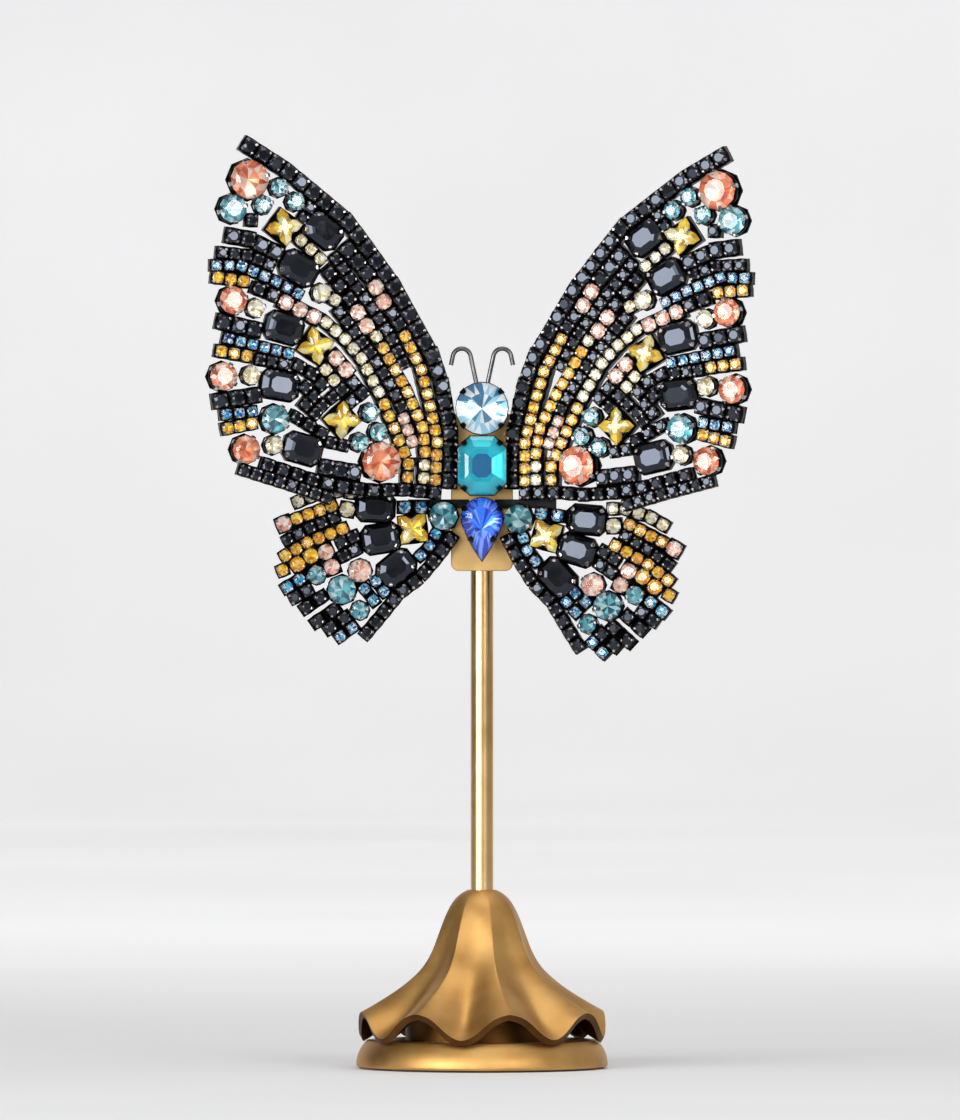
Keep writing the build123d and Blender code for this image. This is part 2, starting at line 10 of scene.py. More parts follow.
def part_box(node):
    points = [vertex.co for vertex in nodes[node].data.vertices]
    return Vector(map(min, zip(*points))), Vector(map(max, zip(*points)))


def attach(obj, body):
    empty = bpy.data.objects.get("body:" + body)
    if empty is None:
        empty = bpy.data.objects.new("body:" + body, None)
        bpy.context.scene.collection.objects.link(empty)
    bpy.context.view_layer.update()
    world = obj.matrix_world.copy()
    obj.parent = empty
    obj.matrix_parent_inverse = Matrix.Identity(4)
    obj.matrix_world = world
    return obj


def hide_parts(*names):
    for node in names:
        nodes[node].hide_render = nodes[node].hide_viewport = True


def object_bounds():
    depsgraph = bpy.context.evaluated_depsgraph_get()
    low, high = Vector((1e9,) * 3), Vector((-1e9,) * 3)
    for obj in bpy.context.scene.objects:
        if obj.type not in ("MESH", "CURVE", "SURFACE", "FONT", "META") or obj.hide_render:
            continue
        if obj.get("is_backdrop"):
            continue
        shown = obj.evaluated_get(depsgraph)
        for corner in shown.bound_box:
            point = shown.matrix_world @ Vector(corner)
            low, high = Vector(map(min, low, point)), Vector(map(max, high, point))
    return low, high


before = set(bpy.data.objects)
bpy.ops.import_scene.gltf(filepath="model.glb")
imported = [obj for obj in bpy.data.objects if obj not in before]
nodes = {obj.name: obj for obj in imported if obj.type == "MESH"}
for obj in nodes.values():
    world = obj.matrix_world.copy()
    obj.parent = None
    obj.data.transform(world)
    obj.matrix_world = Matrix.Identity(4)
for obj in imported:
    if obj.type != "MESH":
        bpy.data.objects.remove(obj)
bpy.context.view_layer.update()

# Jewelled butterfly on a brass stand. Lengths are millimetres and angles degrees unless something else is said.
MM = 0.001
TO_METRES = Matrix.Scale(MM, 4)
SEED = 7

# The photograph: its size, the wings' width in it, the rod's axis and the line of the table
WING_SPAN = 108.0
SPAN_PX = 550
AXIS_PX = 482
TABLE_PX = 1068
IMAGE_PX = (960, 1120)
MM_PER_PX = WING_SPAN / SPAN_PX

chance = random.Random(SEED)


# Materials

GRAIN_PER_MM = 9.0
GRAIN_DETAIL = 2.0
GRAIN_HEIGHT = 0.02

FIBRES_PER_MM = 5.0
FIBRE_DETAIL = 6.0
FIBRE_STRENGTH = 0.6
FIBRE_HEIGHT = 0.15
FELT_ROUGHNESS = 0.95
FELT_SHEEN = 0.4

# Wear on a stone: a crown's worn spots are rougher by one share and keep another of their tint
WEAR_PER_MM = 0.3
WEAR_DETAIL = 1.0
WORN_ROUGHNESS_SHARE = 1.6
WORN_TINT_SHARE = 0.75
CROWN_SMOOTHEST = 0.03
CROWN_INDEX = 1.28
COAT_WEIGHT = 0.8
COAT_ROUGHNESS = 0.04
COAT_INDEX = 1.6

FOIL_WORN_SHARE = 0.80
FOIL_METALLIC = 0.55
FOIL_ROUGHNESS = 0.24

JET_WEAR_PER_MM = 0.5
JET_ROUGHNESS = (0.03, 0.10)
JET_INDEX = 1.56
JET_SHEEN = (220, 233, 255)


def srgb(red, green, blue):
    """A colour from its screen values, 0 to 255."""
    def linear(value):
        value = value / 255
        return value / 12.92 if value <= 0.04045 else ((value + 0.055) / 1.055) ** 2.4
    return (linear(red), linear(green), linear(blue), 1.0)


def new_material(name):
    """A material, its node tree and its shader."""
    material = bpy.data.materials.new(name)
    material.use_nodes = True
    tree = material.node_tree
    return material, tree, tree.nodes["Principled BSDF"]


def noise(tree, lumps_per_mm, detail=3.0):
    """The value of a noise in the object's own space, with about that many lumps a millimetre."""
    place = tree.nodes.new("ShaderNodeTexCoord")
    texture = tree.nodes.new("ShaderNodeTexNoise")
    texture.inputs["Scale"].default_value = lumps_per_mm / MM
    texture.inputs["Detail"].default_value = detail
    tree.links.new(place.outputs["Object"], texture.inputs["Vector"])
    return texture.outputs["Fac"]


def ramp(tree, value, *stops):
    """The colour along a value: each stop is a place from 0 to 1 and a colour or a grey."""
    node = tree.nodes.new("ShaderNodeValToRGB")
    elements = node.color_ramp.elements
    while len(elements) < len(stops):
        elements.new(0.5)
    for element, (place, colour) in zip(elements, stops):
        element.position = place
        element.color = colour if isinstance(colour, tuple) else (colour, colour, colour, 1.0)
    tree.links.new(value, node.inputs["Fac"])
    return node.outputs["Color"]


def vary(tree, shader, socket, value, *stops):
    """Lets a socket of the shader follow a ramp along a value."""
    tree.links.new(ramp(tree, value, *stops), shader.inputs[socket])


def bump(tree, shader, value, strength, height):
    """Raises the surface by a value, to a height of so many millimetres."""
    node = tree.nodes.new("ShaderNodeBump")
    node.inputs["Strength"].default_value = strength
    node.inputs["Distance"].default_value = height * MM
    tree.links.new(value, node.inputs["Height"])
    tree.links.new(node.outputs["Normal"], shader.inputs["Normal"])


def metal(name, dark, light, smoothest, roughest, lumps_per_mm=0.4, grain=0.0):
    """Metal whose tone and polish wander gently over the surface, with a fine grain if one is given."""
    material, tree, shader = new_material(name)
    lumps = noise(tree, lumps_per_mm)
    vary(tree, shader, "Base Color", lumps, (0.30, srgb(*dark)), (0.70, srgb(*light)))
    vary(tree, shader, "Roughness", lumps, (0.25, smoothest), (0.75, roughest))
    shader.inputs["Metallic"].default_value = 1.0
    if grain:
        bump(tree, shader, noise(tree, GRAIN_PER_MM, GRAIN_DETAIL), grain, GRAIN_HEIGHT)
    return material


def felt(name, dark, light):
    """Matted wool."""
    material, tree, shader = new_material(name)
    fibres = noise(tree, FIBRES_PER_MM, FIBRE_DETAIL)
    vary(tree, shader, "Base Color", fibres, (0.30, srgb(*dark)), (0.70, srgb(*light)))
    shader.inputs["Roughness"].default_value = FELT_ROUGHNESS
    shader.inputs["Sheen Weight"].default_value = FELT_SHEEN
    bump(tree, shader, fibres, FIBRE_STRENGTH, FIBRE_HEIGHT)
    return material


def glass(name, tint, smoothest):
    """Clear tinted glass of a stone's crown, polished, with faint wear on its facets."""
    material, tree, shader = new_material(name)
    wear = noise(tree, WEAR_PER_MM, WEAR_DETAIL)
    pale = tuple(1 - (1 - value) * WORN_TINT_SHARE for value in tint[:3]) + (1.0,)
    vary(tree, shader, "Roughness", wear, (0.30, smoothest), (0.80, smoothest * WORN_ROUGHNESS_SHARE))
    vary(tree, shader, "Base Color", wear, (0.30, tint), (0.80, pale))
    shader.inputs["Transmission Weight"].default_value = 1.0
    shader.inputs["IOR"].default_value = CROWN_INDEX
    shader.inputs["Coat Weight"].default_value = COAT_WEIGHT
    shader.inputs["Coat Roughness"].default_value = COAT_ROUGHNESS
    shader.inputs["Coat IOR"].default_value = COAT_INDEX
    return material


def foil(name, colour):
    """The coloured foil behind a stone, a little uneven."""
    material, tree, shader = new_material(name)
    worn = tuple(value * FOIL_WORN_SHARE for value in colour[:3]) + (1.0,)
    vary(tree, shader, "Base Color", noise(tree, WEAR_PER_MM, WEAR_DETAIL), (0.34, worn), (0.60, colour))
    shader.inputs["Metallic"].default_value = FOIL_METALLIC
    shader.inputs["Roughness"].default_value = FOIL_ROUGHNESS
    return material


def cut_glass(name, tint, deep, middle, bright, smoothest=CROWN_SMOOTHEST):
    """What one colour of stone is made of: its clear crown, and three tones of foil for the facets behind it,
    the deep one painted shade and the bright one painted highlight.
    """
    return (glass(f"{name}_glass", srgb(*tint), smoothest), foil(f"{name}_foil_with_painted_shade", srgb(*deep)),
            foil(f"{name}_foil", srgb(*middle)), foil(f"{name}_foil_with_painted_highlight", srgb(*bright)))


def black_glass(name, deep, bright):
    """Opaque dark glass: nearly all that shows is what its polished facets mirror."""
    material, tree, shader = new_material(name)
    wear = noise(tree, JET_WEAR_PER_MM, WEAR_DETAIL)
    smoothest, roughest = JET_ROUGHNESS
    vary(tree, shader, "Base Color", wear, (0.35, srgb(*deep)), (0.70, srgb(*bright)))
    vary(tree, shader, "Roughness", wear, (0.30, smoothest), (0.75, roughest))
    shader.inputs["IOR"].default_value = JET_INDEX
    shader.inputs["Specular Tint"].default_value = srgb(*JET_SHEEN)
    return material


# Metals: dark and light tone, smoothest and roughest, lumps a millimetre, grain
BRASS = metal("brass_satin", (180, 134, 74), (202, 160, 98), 0.42, 0.54, 0.14, 0.14)
BRASS_DARK = metal("brass_shaded", (74, 48, 22), (110, 76, 38), 0.40, 0.55, 0.14, 0.14)
BRASS_POLISHED = metal("brass_polished", (204, 164, 108), (224, 188, 134), 0.18, 0.26, 0.10, 0.03)
BRASS_PLATE = metal("brass_plate", (170, 138, 88), (186, 154, 102), 0.38, 0.50, 0.25, 0.10)
STEEL = metal("steel_plain", (150, 150, 152), (186, 186, 188), 0.25, 0.40)
GUNMETAL = metal("gunmetal", (13, 13, 14), (30, 29, 30), 0.26, 0.44, 1.2, 0.10)
CUP_BACK = metal("cup_back", (58, 57, 58), (98, 96, 96), 0.30, 0.48, 0.8, 0.10)
TIN = metal("solder_tin", (96, 94, 92), (150, 147, 144), 0.34, 0.54, 0.7, 0.20)
# The solder sheet's front: the setting's black, darkened further as painted shade for the slits between cups
SOLDER_PAINTED_SHADE = metal("solder_black_with_painted_shade", (5, 5, 6), (14, 13, 14), 0.45, 0.65, 1.0, 0.20)
WIRE = metal("wire_dark", (82, 80, 80), (112, 109, 109), 0.16, 0.30, 0.8, 0.05)
# Claws: worn pale metal, and also a painted highlight: much paler than the cups' gunmetal so that they glint
CLAW = metal("claw_worn_with_painted_glints", (84, 81, 82), (234, 226, 224), 0.16, 0.32, 1.3)
FELT = felt("felt", (20, 20, 21), (48, 47, 46))
JET = black_glass("jet_glass", (2, 2, 3), (9, 9, 11))

# Each stone colour: the glass of its crown and the three foils behind it: one with painted shade, the plain one,
# and one with painted highlight
STONE_LOOKS = {
    "jet": (JET,) * 4,
    "octagon": (JET,) * 4,
    "amber": cut_glass("amber", (255, 251, 218), (226, 146, 4), (255, 202, 24), (255, 240, 128)),
    "jonquil": cut_glass("jonquil", (255, 255, 252), (218, 202, 142), (255, 250, 222), (255, 255, 252)),
    "rose": cut_glass("rose", (255, 252, 250), (228, 158, 132), (255, 218, 198), (255, 251, 247)),
    "peach": cut_glass("peach", (255, 247, 241), (206, 100, 62), (250, 164, 122), (255, 234, 220)),
    "aqua": cut_glass("aqua", (246, 252, 252), (24, 100, 120), (104, 186, 200), (222, 247, 250)),
    "aurora": cut_glass("aurora", (242, 252, 255), (2, 48, 138), (30, 176, 218), (244, 255, 255)),
    "star": cut_glass("star", (255, 253, 230), (220, 172, 24), (255, 226, 84), (255, 253, 220)),
    "head": cut_glass("head", (251, 254, 255), (66, 132, 172), (170, 224, 246), (255, 255, 255)),
    "thorax": cut_glass("thorax", (206, 250, 253), (0, 92, 140), (0, 186, 206), (84, 240, 246), 0.10),
    "abdomen": cut_glass("abdomen", (232, 242, 255), (10, 56, 190), (48, 128, 250), (142, 176, 255), 0.09),
}
# A stone's material slots after its glass: the foil with painted shade, the plain foil, the foil with painted
# highlight
FOIL_PAINTED_SHADE, MIDDLE, FOIL_PAINTED_HIGHLIGHT = 1, 2, 3
# What the foil facets of most stones are drawn from by chance: painted shade, plain foil and painted highlight
FOIL_LIGHT_AND_SHADE = (FOIL_PAINTED_SHADE, FOIL_PAINTED_SHADE, MIDDLE, MIDDLE, MIDDLE, FOIL_PAINTED_HIGHLIGHT, FOIL_PAINTED_HIGHLIGHT)


# Shapes: points and faces gathered into one mesh a piece

SHARP_ANGLE = 40.0


def link(name, data):
    """A new object of the scene."""
    obj = bpy.data.objects.new(name, data)
    bpy.context.scene.collection.objects.link(obj)
    return obj


def add_piece(name, mesh, replaced):
    """A piece on the ornament's one body, in place of a solid."""
    obj = link(name, mesh)
    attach(obj, "root")
    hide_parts(replaced)


class Shape:
    def __init__(self):
        self.points, self.faces, self.looks, self.smooth = [], [], [], []

    def add(self, place, points, faces, look=0, smooth=False):
        """Adds faces. Their material is one number, or a list of one a face, or drawn by chance from a tuple."""
        start = len(self.points)
        self.points += [place @ Vector(point) for point in points]
        self.faces += [[start + index for index in face] for face in faces]
        if isinstance(look, list):
            self.looks += look
        elif isinstance(look, tuple):
            self.looks += [chance.choice(look) for _ in faces]
        else:
            self.looks += [look] * len(faces)
        self.smooth += [smooth] * len(faces)

    def piece(self, name, materials, replaced):
        mesh = bpy.data.meshes.new(name)
        mesh.from_pydata(self.points, [], self.faces)
        for material in materials:
            mesh.materials.append(material)
        for polygon, look, smooth in zip(mesh.polygons, self.looks, self.smooth):
            polygon.material_index = look
            polygon.use_smooth = smooth
        if any(self.smooth):
            mesh.set_sharp_from_angle(angle=radians(SHARP_ANGLE))
        mesh.update()
        add_piece(name, mesh, replaced)


def facing_front(y, z):
    """A place level with the rod, y and z in metres, whose own axes run right, up and towards the viewer."""
    return Matrix(((1, 0, 0, 0), (0, 0, -1, y), (0, 1, 0, z), (0, 0, 0, 1))) @ TO_METRES


def round_outline(count, radius, turn=0.0):
    """A circle's points, turned by an angle in radians."""
    return [(radius * cos(tau * k / count + turn), radius * sin(tau * k / count + turn)) for k in range(count)]


def square_outline(half, corner):
    """A square's corners and mid sides, with its corners drawn in a little."""
    h, c = half, half - corner
    return [(h, 0), (c, c), (0, h), (-c, c), (-h, 0), (-c, -c), (0, -h), (c, -c)]


def cut_outline(length, width, corner):
    """A rectangle with its corners cut off."""
    x, y = length / 2, width / 2
    return [(x, y - corner), (x - corner, y), (corner - x, y), (-x, y - corner),
            (-x, corner - y), (corner - x, -y), (x - corner, -y), (x, corner - y)]


def quarter_turns(start):
    """Four directions a right angle apart, in radians."""
    return [start + k * pi / 2 for k in range(4)]


def corner_turns(turn):
    """The directions of a rectangle's four corners, in radians, from that of its first."""
    return [turn, pi - turn, pi + turn, -turn]


def shrunk(outline, share):
    return [(x * share, y * share) for x, y in outline]


def stepped(outline):
    """The same outline, counted from its second point."""
    return outline[1:] + outline[:1]


def scaled(outline, share, height):
    """A ring: a share of an outline, at a height."""
    return [(x * share, y * share, height) for x, y in outline]


def halfway(outline, share, height):
    """The ring of an outline's mid sides."""
    return [((x + a) / 2 * share, (y + b) / 2 * share, height)
            for (x, y), (a, b) in zip(outline, stepped(outline))]


def skin(rings, crossed=False, capped=False):
    """Facets from ring to ring: quads, or triangles where each ring lies half a step round from the last."""
    count = len(rings[0])
    points = [point for ring in rings for point in ring]
    faces = []
    for low in range(0, len(points) - count, count):
        for k in range(count):
            ahead = (k + 1) % count
            a, b, c, d = low + k, low + ahead, low + count + k, low + count + ahead
            faces += [(a, b, c), (b, d, c)] if crossed else [(a, b, d, c)]
    if capped:
        faces.append(tuple(range(len(points) - count, len(points))))
    return points, faces


def pointed_skin(rings, crossed, apex):
    """The same, closed from its last ring to a point."""
    points, faces = skin(rings, crossed)
    count, tip = len(rings[-1]), len(points)
    last = tip - count
    return points + [apex], faces + [(last + k, last + (k + 1) % count, tip) for k in range(count)]


def closing_face(count):
    """The face that closes the first ring of a skin."""
    return tuple(reversed(range(count)))


# Where the stones sit, read from the solids

# Points of a solid that are nearer than this, in metres, are one
WELD = 1e-6
# A face looks some way when its normal goes that way by more than this
FACING = 0.5


class Seat:
    """One stone's place, how many sides it has, and its length and width at the girdle."""

    def __init__(self, girdle, front):
        centre = sum(girdle, Vector()) / len(girdle)
        up = Vector((0, 0, 1))
        right = up.cross(front).normalized()
        flat = [((p - centre).dot(right), (p - centre).dot(up)) for p in girdle]
        order = sorted(flat, key=lambda p: atan2(p[1], p[0]))
        sides = [(b[0] - a[0], b[1] - a[1]) for a, b in zip(order, stepped(order))]
        longest = max(sides, key=lambda side: side[0] ** 2 + side[1] ** 2)
        turn = atan2(longest[1], longest[0])
        along = [x * cos(turn) + y * sin(turn) for x, y in flat]
        across = [y * cos(turn) - x * sin(turn) for x, y in flat]
        self.front = front
        self.sides = len(girdle)
        self.length = (max(along) - min(along)) / MM
        self.width = (max(across) - min(across)) / MM
        self.place = Matrix((
            (right.x, up.x, front.x, centre.x), (right.y, up.y, front.y, centre.y),
            (right.z, up.z, front.z, centre.z), (0, 0, 0, 1),
        )) @ Matrix.Rotation(turn, 4, "Z") @ TO_METRES


def in_order(elements):
    """A mesh's elements without repeats, always in the same order."""
    return sorted(set(elements), key=lambda element: element.index)


def read_seats(node):
    """Every stone of a CAD node: its back face gives its girdle."""
    mesh = bmesh.new()
    mesh.from_mesh(nodes[node].data)
    bmesh.ops.remove_doubles(mesh, verts=mesh.verts, dist=WELD)
    mesh.normal_update()
    mesh.verts.index_update()
    mesh.faces.index_update()
    seats, seen = [], set()
    for vert in mesh.verts:
        if vert in seen:
            continue
        island, reach = set(), [vert]
        while reach:
            one = reach.pop()
            if one not in island:
                island.add(one)
                reach += [edge.other_vert(one) for edge in one.link_edges]
        seen |= island
        backs = in_order(face for one in island for face in one.link_faces if face.normal.y > FACING)
        girdle = in_order(corner for face in backs for corner in face.verts)
        front = -sum((face.normal * face.calc_area() for face in backs), Vector()).normalized()
        seats.append(Seat([corner.co.copy() for corner in girdle], front))
    mesh.free()
    return seats


# Stones

# How far a stone may lean in its claws, and a round one be turned (in radians)
STONE_TILT = 7.0
JET_TILT = 12.0
TURN_JITTER = 0.2

# Shares of a stone's width: its girdle over the cup, its crown over that, and its depth below
GIRDLE_SHARE = 0.09
CROWN_SHARE = 0.17
DEPTH_SHARE = 0.30

# Round stones: shares of the outline at the table and at the break below it, and of the crown up to it
TABLE_SHARE = 0.56
BREAK_SHARE = 0.82
BREAK_RISE = 0.62
# Foils: shares of the outline at the edge and at the break, and of the depth down to it
FOIL_EDGE_SHARE = 0.985
FOIL_BREAK_SHARE = 0.56
FOIL_BREAK_FALL = 0.5

# Step cuts: shares of the outline, with shares of the crown or of the depth
STEP_RISES = ((1.0, 0.0), (0.86, 0.45), (0.70, 0.80), (0.55, 1.0))
STEP_FALLS = ((FOIL_EDGE_SHARE, 0.0), (0.62, 0.6), (0.40, 1.0))

# Star cuts, as shares of half the width: the notch, a lobe's flank and where it starts, and the lobe's tip
STAR_WAIST = 0.72
STAR_EDGE = 1.03
STAR_FLANK = 0.44
STAR_TIP = 1.04
STAR_RISES = ((1.0, 0.0), (0.80, 0.75), (0.40, 1.0))
# Their foil: the share of the outline at its break, and how deep break and point are, of the width
STAR_FOIL_SHARE = 0.55
STAR_FOIL_BREAK = 0.12
STAR_FOIL_POINT = 0.20


def tilted(place, most=STONE_TILT):
    """The same place with a stone's slight lean in its claws."""
    lean, way = radians(chance.uniform(0, most)), chance.uniform(0, tau)
    return place @ Matrix.Rotation(lean, 4, Vector((cos(way), sin(way), 0)))


def cut_brilliant(stones, place, size, sides, most_lean=STONE_TILT):
    """A round stone: table, star and girdle facets over a foiled point."""
    outline = round_outline(sides, size / 2, pi / sides + chance.uniform(-TURN_JITTER, TURN_JITTER))
    girdle, crown, depth = size * GIRDLE_SHARE, size * CROWN_SHARE, size * DEPTH_SHARE
    place = tilted(place, most_lean)
    rings = [scaled(outline, 1.0, girdle), halfway(outline, BREAK_SHARE, girdle + crown * BREAK_RISE),
             scaled(stepped(outline), TABLE_SHARE, girdle + crown)]
    stones.add(place, *skin(rings, crossed=True, capped=True))
    below = [scaled(outline, FOIL_EDGE_SHARE, girdle),
             halfway(outline, FOIL_BREAK_SHARE, girdle - depth * FOIL_BREAK_FALL)]
    stones.add(place, *pointed_skin(below, True, (0, 0, girdle - depth)), FOIL_LIGHT_AND_SHADE)


def cut_steps(stones, place, outline, girdle, crown, depth, upper_tones, lower_tones):
    """A step-cut stone: three flights of facets up to a long table, and two flights of foil down to a keel, in
    tones given for each flight that paint light and shade.
    """
    rings = [scaled(outline, share, girdle + crown * rise) for share, rise in STEP_RISES]
    stones.add(place, *skin(rings, capped=True))
    border, steep, keel = (scaled(outline, share, girdle - depth * fall) for share, fall in STEP_FALLS)
    stones.add(place, *skin([border, steep]), upper_tones)
    stones.add(place, *skin([steep, keel], capped=True), lower_tones)


def cut_star(stones, place, size):
    """A stone cut to a four-lobed cross, each lobe its own little roof over a bright middle."""
    waist, edge, flank, tip = (size / 2 * share for share in (STAR_WAIST, STAR_EDGE, STAR_FLANK, STAR_TIP))
    quarter = [(waist, 0), (edge, flank), (tip, tip), (flank, edge)]
    outline = [(x * cos(turn) - y * sin(turn), x * sin(turn) + y * cos(turn))
               for turn in quarter_turns(0.0) for x, y in quarter]
    girdle, crown = size * GIRDLE_SHARE, size * CROWN_SHARE
    place = tilted(place)
    rings = [scaled(outline, share, girdle + crown * rise) for share, rise in STAR_RISES]
    stones.add(place, *skin(rings, capped=True))
    below = [scaled(outline, FOIL_EDGE_SHARE, girdle),
             scaled(outline, STAR_FOIL_SHARE, girdle - size * STAR_FOIL_BREAK)]
    stones.add(place, *pointed_skin(below, False, (0, 0, girdle - size * STAR_FOIL_POINT)), FOIL_LIGHT_AND_SHADE)


# Cups and claws

CUP_LOOK, CLAW_LOOK, CUP_BACK_LOOK = 0, 1, 2
CUP_WALL = 0.40
ROUND_CUP_WALL = 0.14
CUP_DEPTH = 2.6
# By how much a cup's top may lie low and its floor high
CUP_TOP_JITTER = 0.06
CUP_FLOOR_JITTER = 0.12
# How far a rim falls to its outer edge, at the even and at the odd points of its outline
CUP_RIM_FALLS = (0.75, 0.45)
# The floor's share of the outline, and the wall's foot over it; the lip's share of the seat, and its depth
CUP_FLOOR_SHARE = 0.94
CUP_FLOOR_EDGE = 0.5
CUP_LIP_SHARE = 0.9
CUP_LIP_DEPTH = 0.5

CLAW_WIDTH = 0.55
CLAW_THICKNESS = 0.28
# A claw's bend: how much of its lean lies before it, and how much its outside is raised there
CLAW_BEND_SHARE = 0.6
CLAW_CREST = 0.14
# A claw's width as a share of itself at the bend and at the tip, and how much of its lean the tip drops
CLAW_BEND_WIDTH = 0.8
CLAW_TIP_WIDTH = 0.5
CLAW_DROP_SHARE = 0.15

# The claws of one cut: their foot's height, shares of the stone, and a share of CLAW_WIDTH
Claws = namedtuple("Claws", "foot shoulder tip lean width")
STONE_TIP_SHARE = GIRDLE_SHARE + CROWN_SHARE * 0.75
CHAIN_CLAWS = Claws(foot=-0.4, shoulder=0.12, tip=STONE_TIP_SHARE, lean=0.13, width=1.0)
ROUND_CLAWS = Claws(foot=-0.4, shoulder=0.10, tip=0.19, lean=0.11, width=1.5)
STAR_CLAWS = Claws(foot=-0.4, shoulder=0.12, tip=STONE_TIP_SHARE, lean=0.10, width=1.2)
OCTAGON_CLAWS = Claws(foot=-0.6, shoulder=0.08, tip=0.15, lean=0.10, width=1.6)

# Each cut in turn: size against the solid's, sides, the cup's corner and seat, and the claws' reach
CHAIN_STONE_SHARE = 1.14
CHAIN_SIDES = 8
CHAIN_CUP_CORNER = 0.12
CHAIN_SEAT_SHARE = 0.98
CHAIN_REACH = 0.53

ROUND_STONE_SHARE = 1.05
ROUND_SIDES = 12
ROUND_CUP_SIDES = 16
ROUND_SEAT_SHARE = 0.9
ROUND_REACH = 0.52
ROUND_FIRST_CLAW = pi / 5

STAR_CUP_CORNER = 0.1
STAR_SEAT_SHARE = 0.8
STAR_REACH = 0.37

# Octagons: shares of their width, and the seat's of their outline
OCTAGON_CORNER = 0.26
OCTAGON_GIRDLE = 0.06
OCTAGON_CROWN = 0.15
OCTAGON_DEPTH = 0.30
OCTAGON_SEAT_SHARE = 0.93

SOLDER_SINK = 1.75
SOLDER_LIFT = 0.25


def make_cup(cups, place, outer, inner):
    """A cup whose rim falls from the stone's seat to its outer edge, lower between the corners."""
    top = chance.uniform(-CUP_TOP_JITTER, 0.0)
    floor = chance.uniform(0.0, CUP_FLOOR_JITTER) - CUP_DEPTH
    foot = scaled(outer, CUP_FLOOR_SHARE, floor)
    edge = [(x, y, top - CUP_RIM_FALLS[k % 2]) for k, (x, y) in enumerate(outer)]
    rings = [foot, scaled(outer, 1.0, floor + CUP_FLOOR_EDGE), edge,
             scaled(inner, 1.0, top), scaled(inner, CUP_LIP_SHARE, top - CUP_LIP_DEPTH)]
    cups.add(place, *skin(rings), CUP_LOOK)
    cups.add(place, foot, [closing_face(len(outer))], CUP_BACK_LOOK)


def claw(shape, place, reach, turn, foot, shoulder, tip, lean, width, look):
    """A bent prong that stands outside a stone and leans in over its girdle."""
    rows = []
    for out, height, share, crest in (
        (reach, foot, 1.0, 0.0),
        (reach, shoulder, 1.0, 0.0),
        (reach - lean * CLAW_BEND_SHARE, tip, CLAW_BEND_WIDTH, CLAW_CREST),
        (reach - lean, tip - lean * CLAW_DROP_SHARE, CLAW_TIP_WIDTH, 0.0),
    ):
        half, outside = width * share / 2, out + CLAW_THICKNESS * share
        rows.append([(out, -half, height), (outside, -half, height + crest),
                     (outside, half, height + crest), (out, half, height)])
    shape.add(place @ Matrix.Rotation(turn, 4, "Z"), *skin(rows, capped=True), look)


def add_claws(cups, place, size, reach, turns, claws):
    """The claws of one cup."""
    for turn in turns:
        claw(cups, place, reach, turn, claws.foot, size * claws.shoulder, size * claws.tip, size * claws.lean,
             CLAW_WIDTH * claws.width, CLAW_LOOK)


def set_octagon(stones, cups, seat):
    """A long step-cut stone with a claw over each cut corner."""
    size, place, corner = seat.width, seat.place, seat.width * OCTAGON_CORNER
    outline = cut_outline(seat.length, size, corner)
    # The upper flight's foil is plain or painted highlight, the lower's plain or painted shade
    cut_steps(stones, tilted(place), outline, size * OCTAGON_GIRDLE, size * OCTAGON_CROWN, size * OCTAGON_DEPTH,
              (MIDDLE, FOIL_PAINTED_HIGHLIGHT), (FOIL_PAINTED_SHADE, MIDDLE))
    rim = cut_outline(seat.length + 2 * CUP_WALL, size + 2 * CUP_WALL, corner)
    make_cup(cups, place, rim, shrunk(outline, OCTAGON_SEAT_SHARE))
    along, across = seat.length - corner, size - corner
    turns = corner_turns(atan2(across, along))
    add_claws(cups, place, size, Vector((along, across)).length / 2, turns, OCTAGON_CLAWS)


def set_star(stones, cups, seat):
    """A star-cut stone in a square cup, with a claw in each notch."""
    size, place = seat.width, seat.place
    cut_star(stones, place, size)
    rim = square_outline(size / 2 + CUP_WALL, STAR_CUP_CORNER)
    make_cup(cups, place, rim, shrunk(rim, STAR_SEAT_SHARE))
    add_claws(cups, place, size, size * STAR_REACH, quarter_turns(0.0), STAR_CLAWS)


def set_chain_stone(stones, cups, seat, most_lean):
    """A small round stone in a square cup of a chain, with a claw at each corner."""
    size, place = seat.width, seat.place
    cut_brilliant(stones, place, size * CHAIN_STONE_SHARE, CHAIN_SIDES, most_lean)
    rim = square_outline(size / 2 + CUP_WALL, CHAIN_CUP_CORNER)
    make_cup(cups, place, rim, round_outline(CHAIN_SIDES, size / 2 * CHAIN_SEAT_SHARE))
    add_claws(cups, place, size, size * CHAIN_REACH, quarter_turns(pi / 4), CHAIN_CLAWS)


def set_round(stones, cups, seat):
    """A larger round stone in a round cup with four claws."""
    size, place = seat.length, seat.place
    cut_brilliant(stones, place, size * ROUND_STONE_SHARE, ROUND_SIDES)
    rim = round_outline(ROUND_CUP_SIDES, size / 2 + ROUND_CUP_WALL)
    make_cup(cups, place, rim, shrunk(rim, ROUND_SEAT_SHARE))
    add_claws(cups, place, size, size * ROUND_REACH, quarter_turns(ROUND_FIRST_CLAW), ROUND_CLAWS)


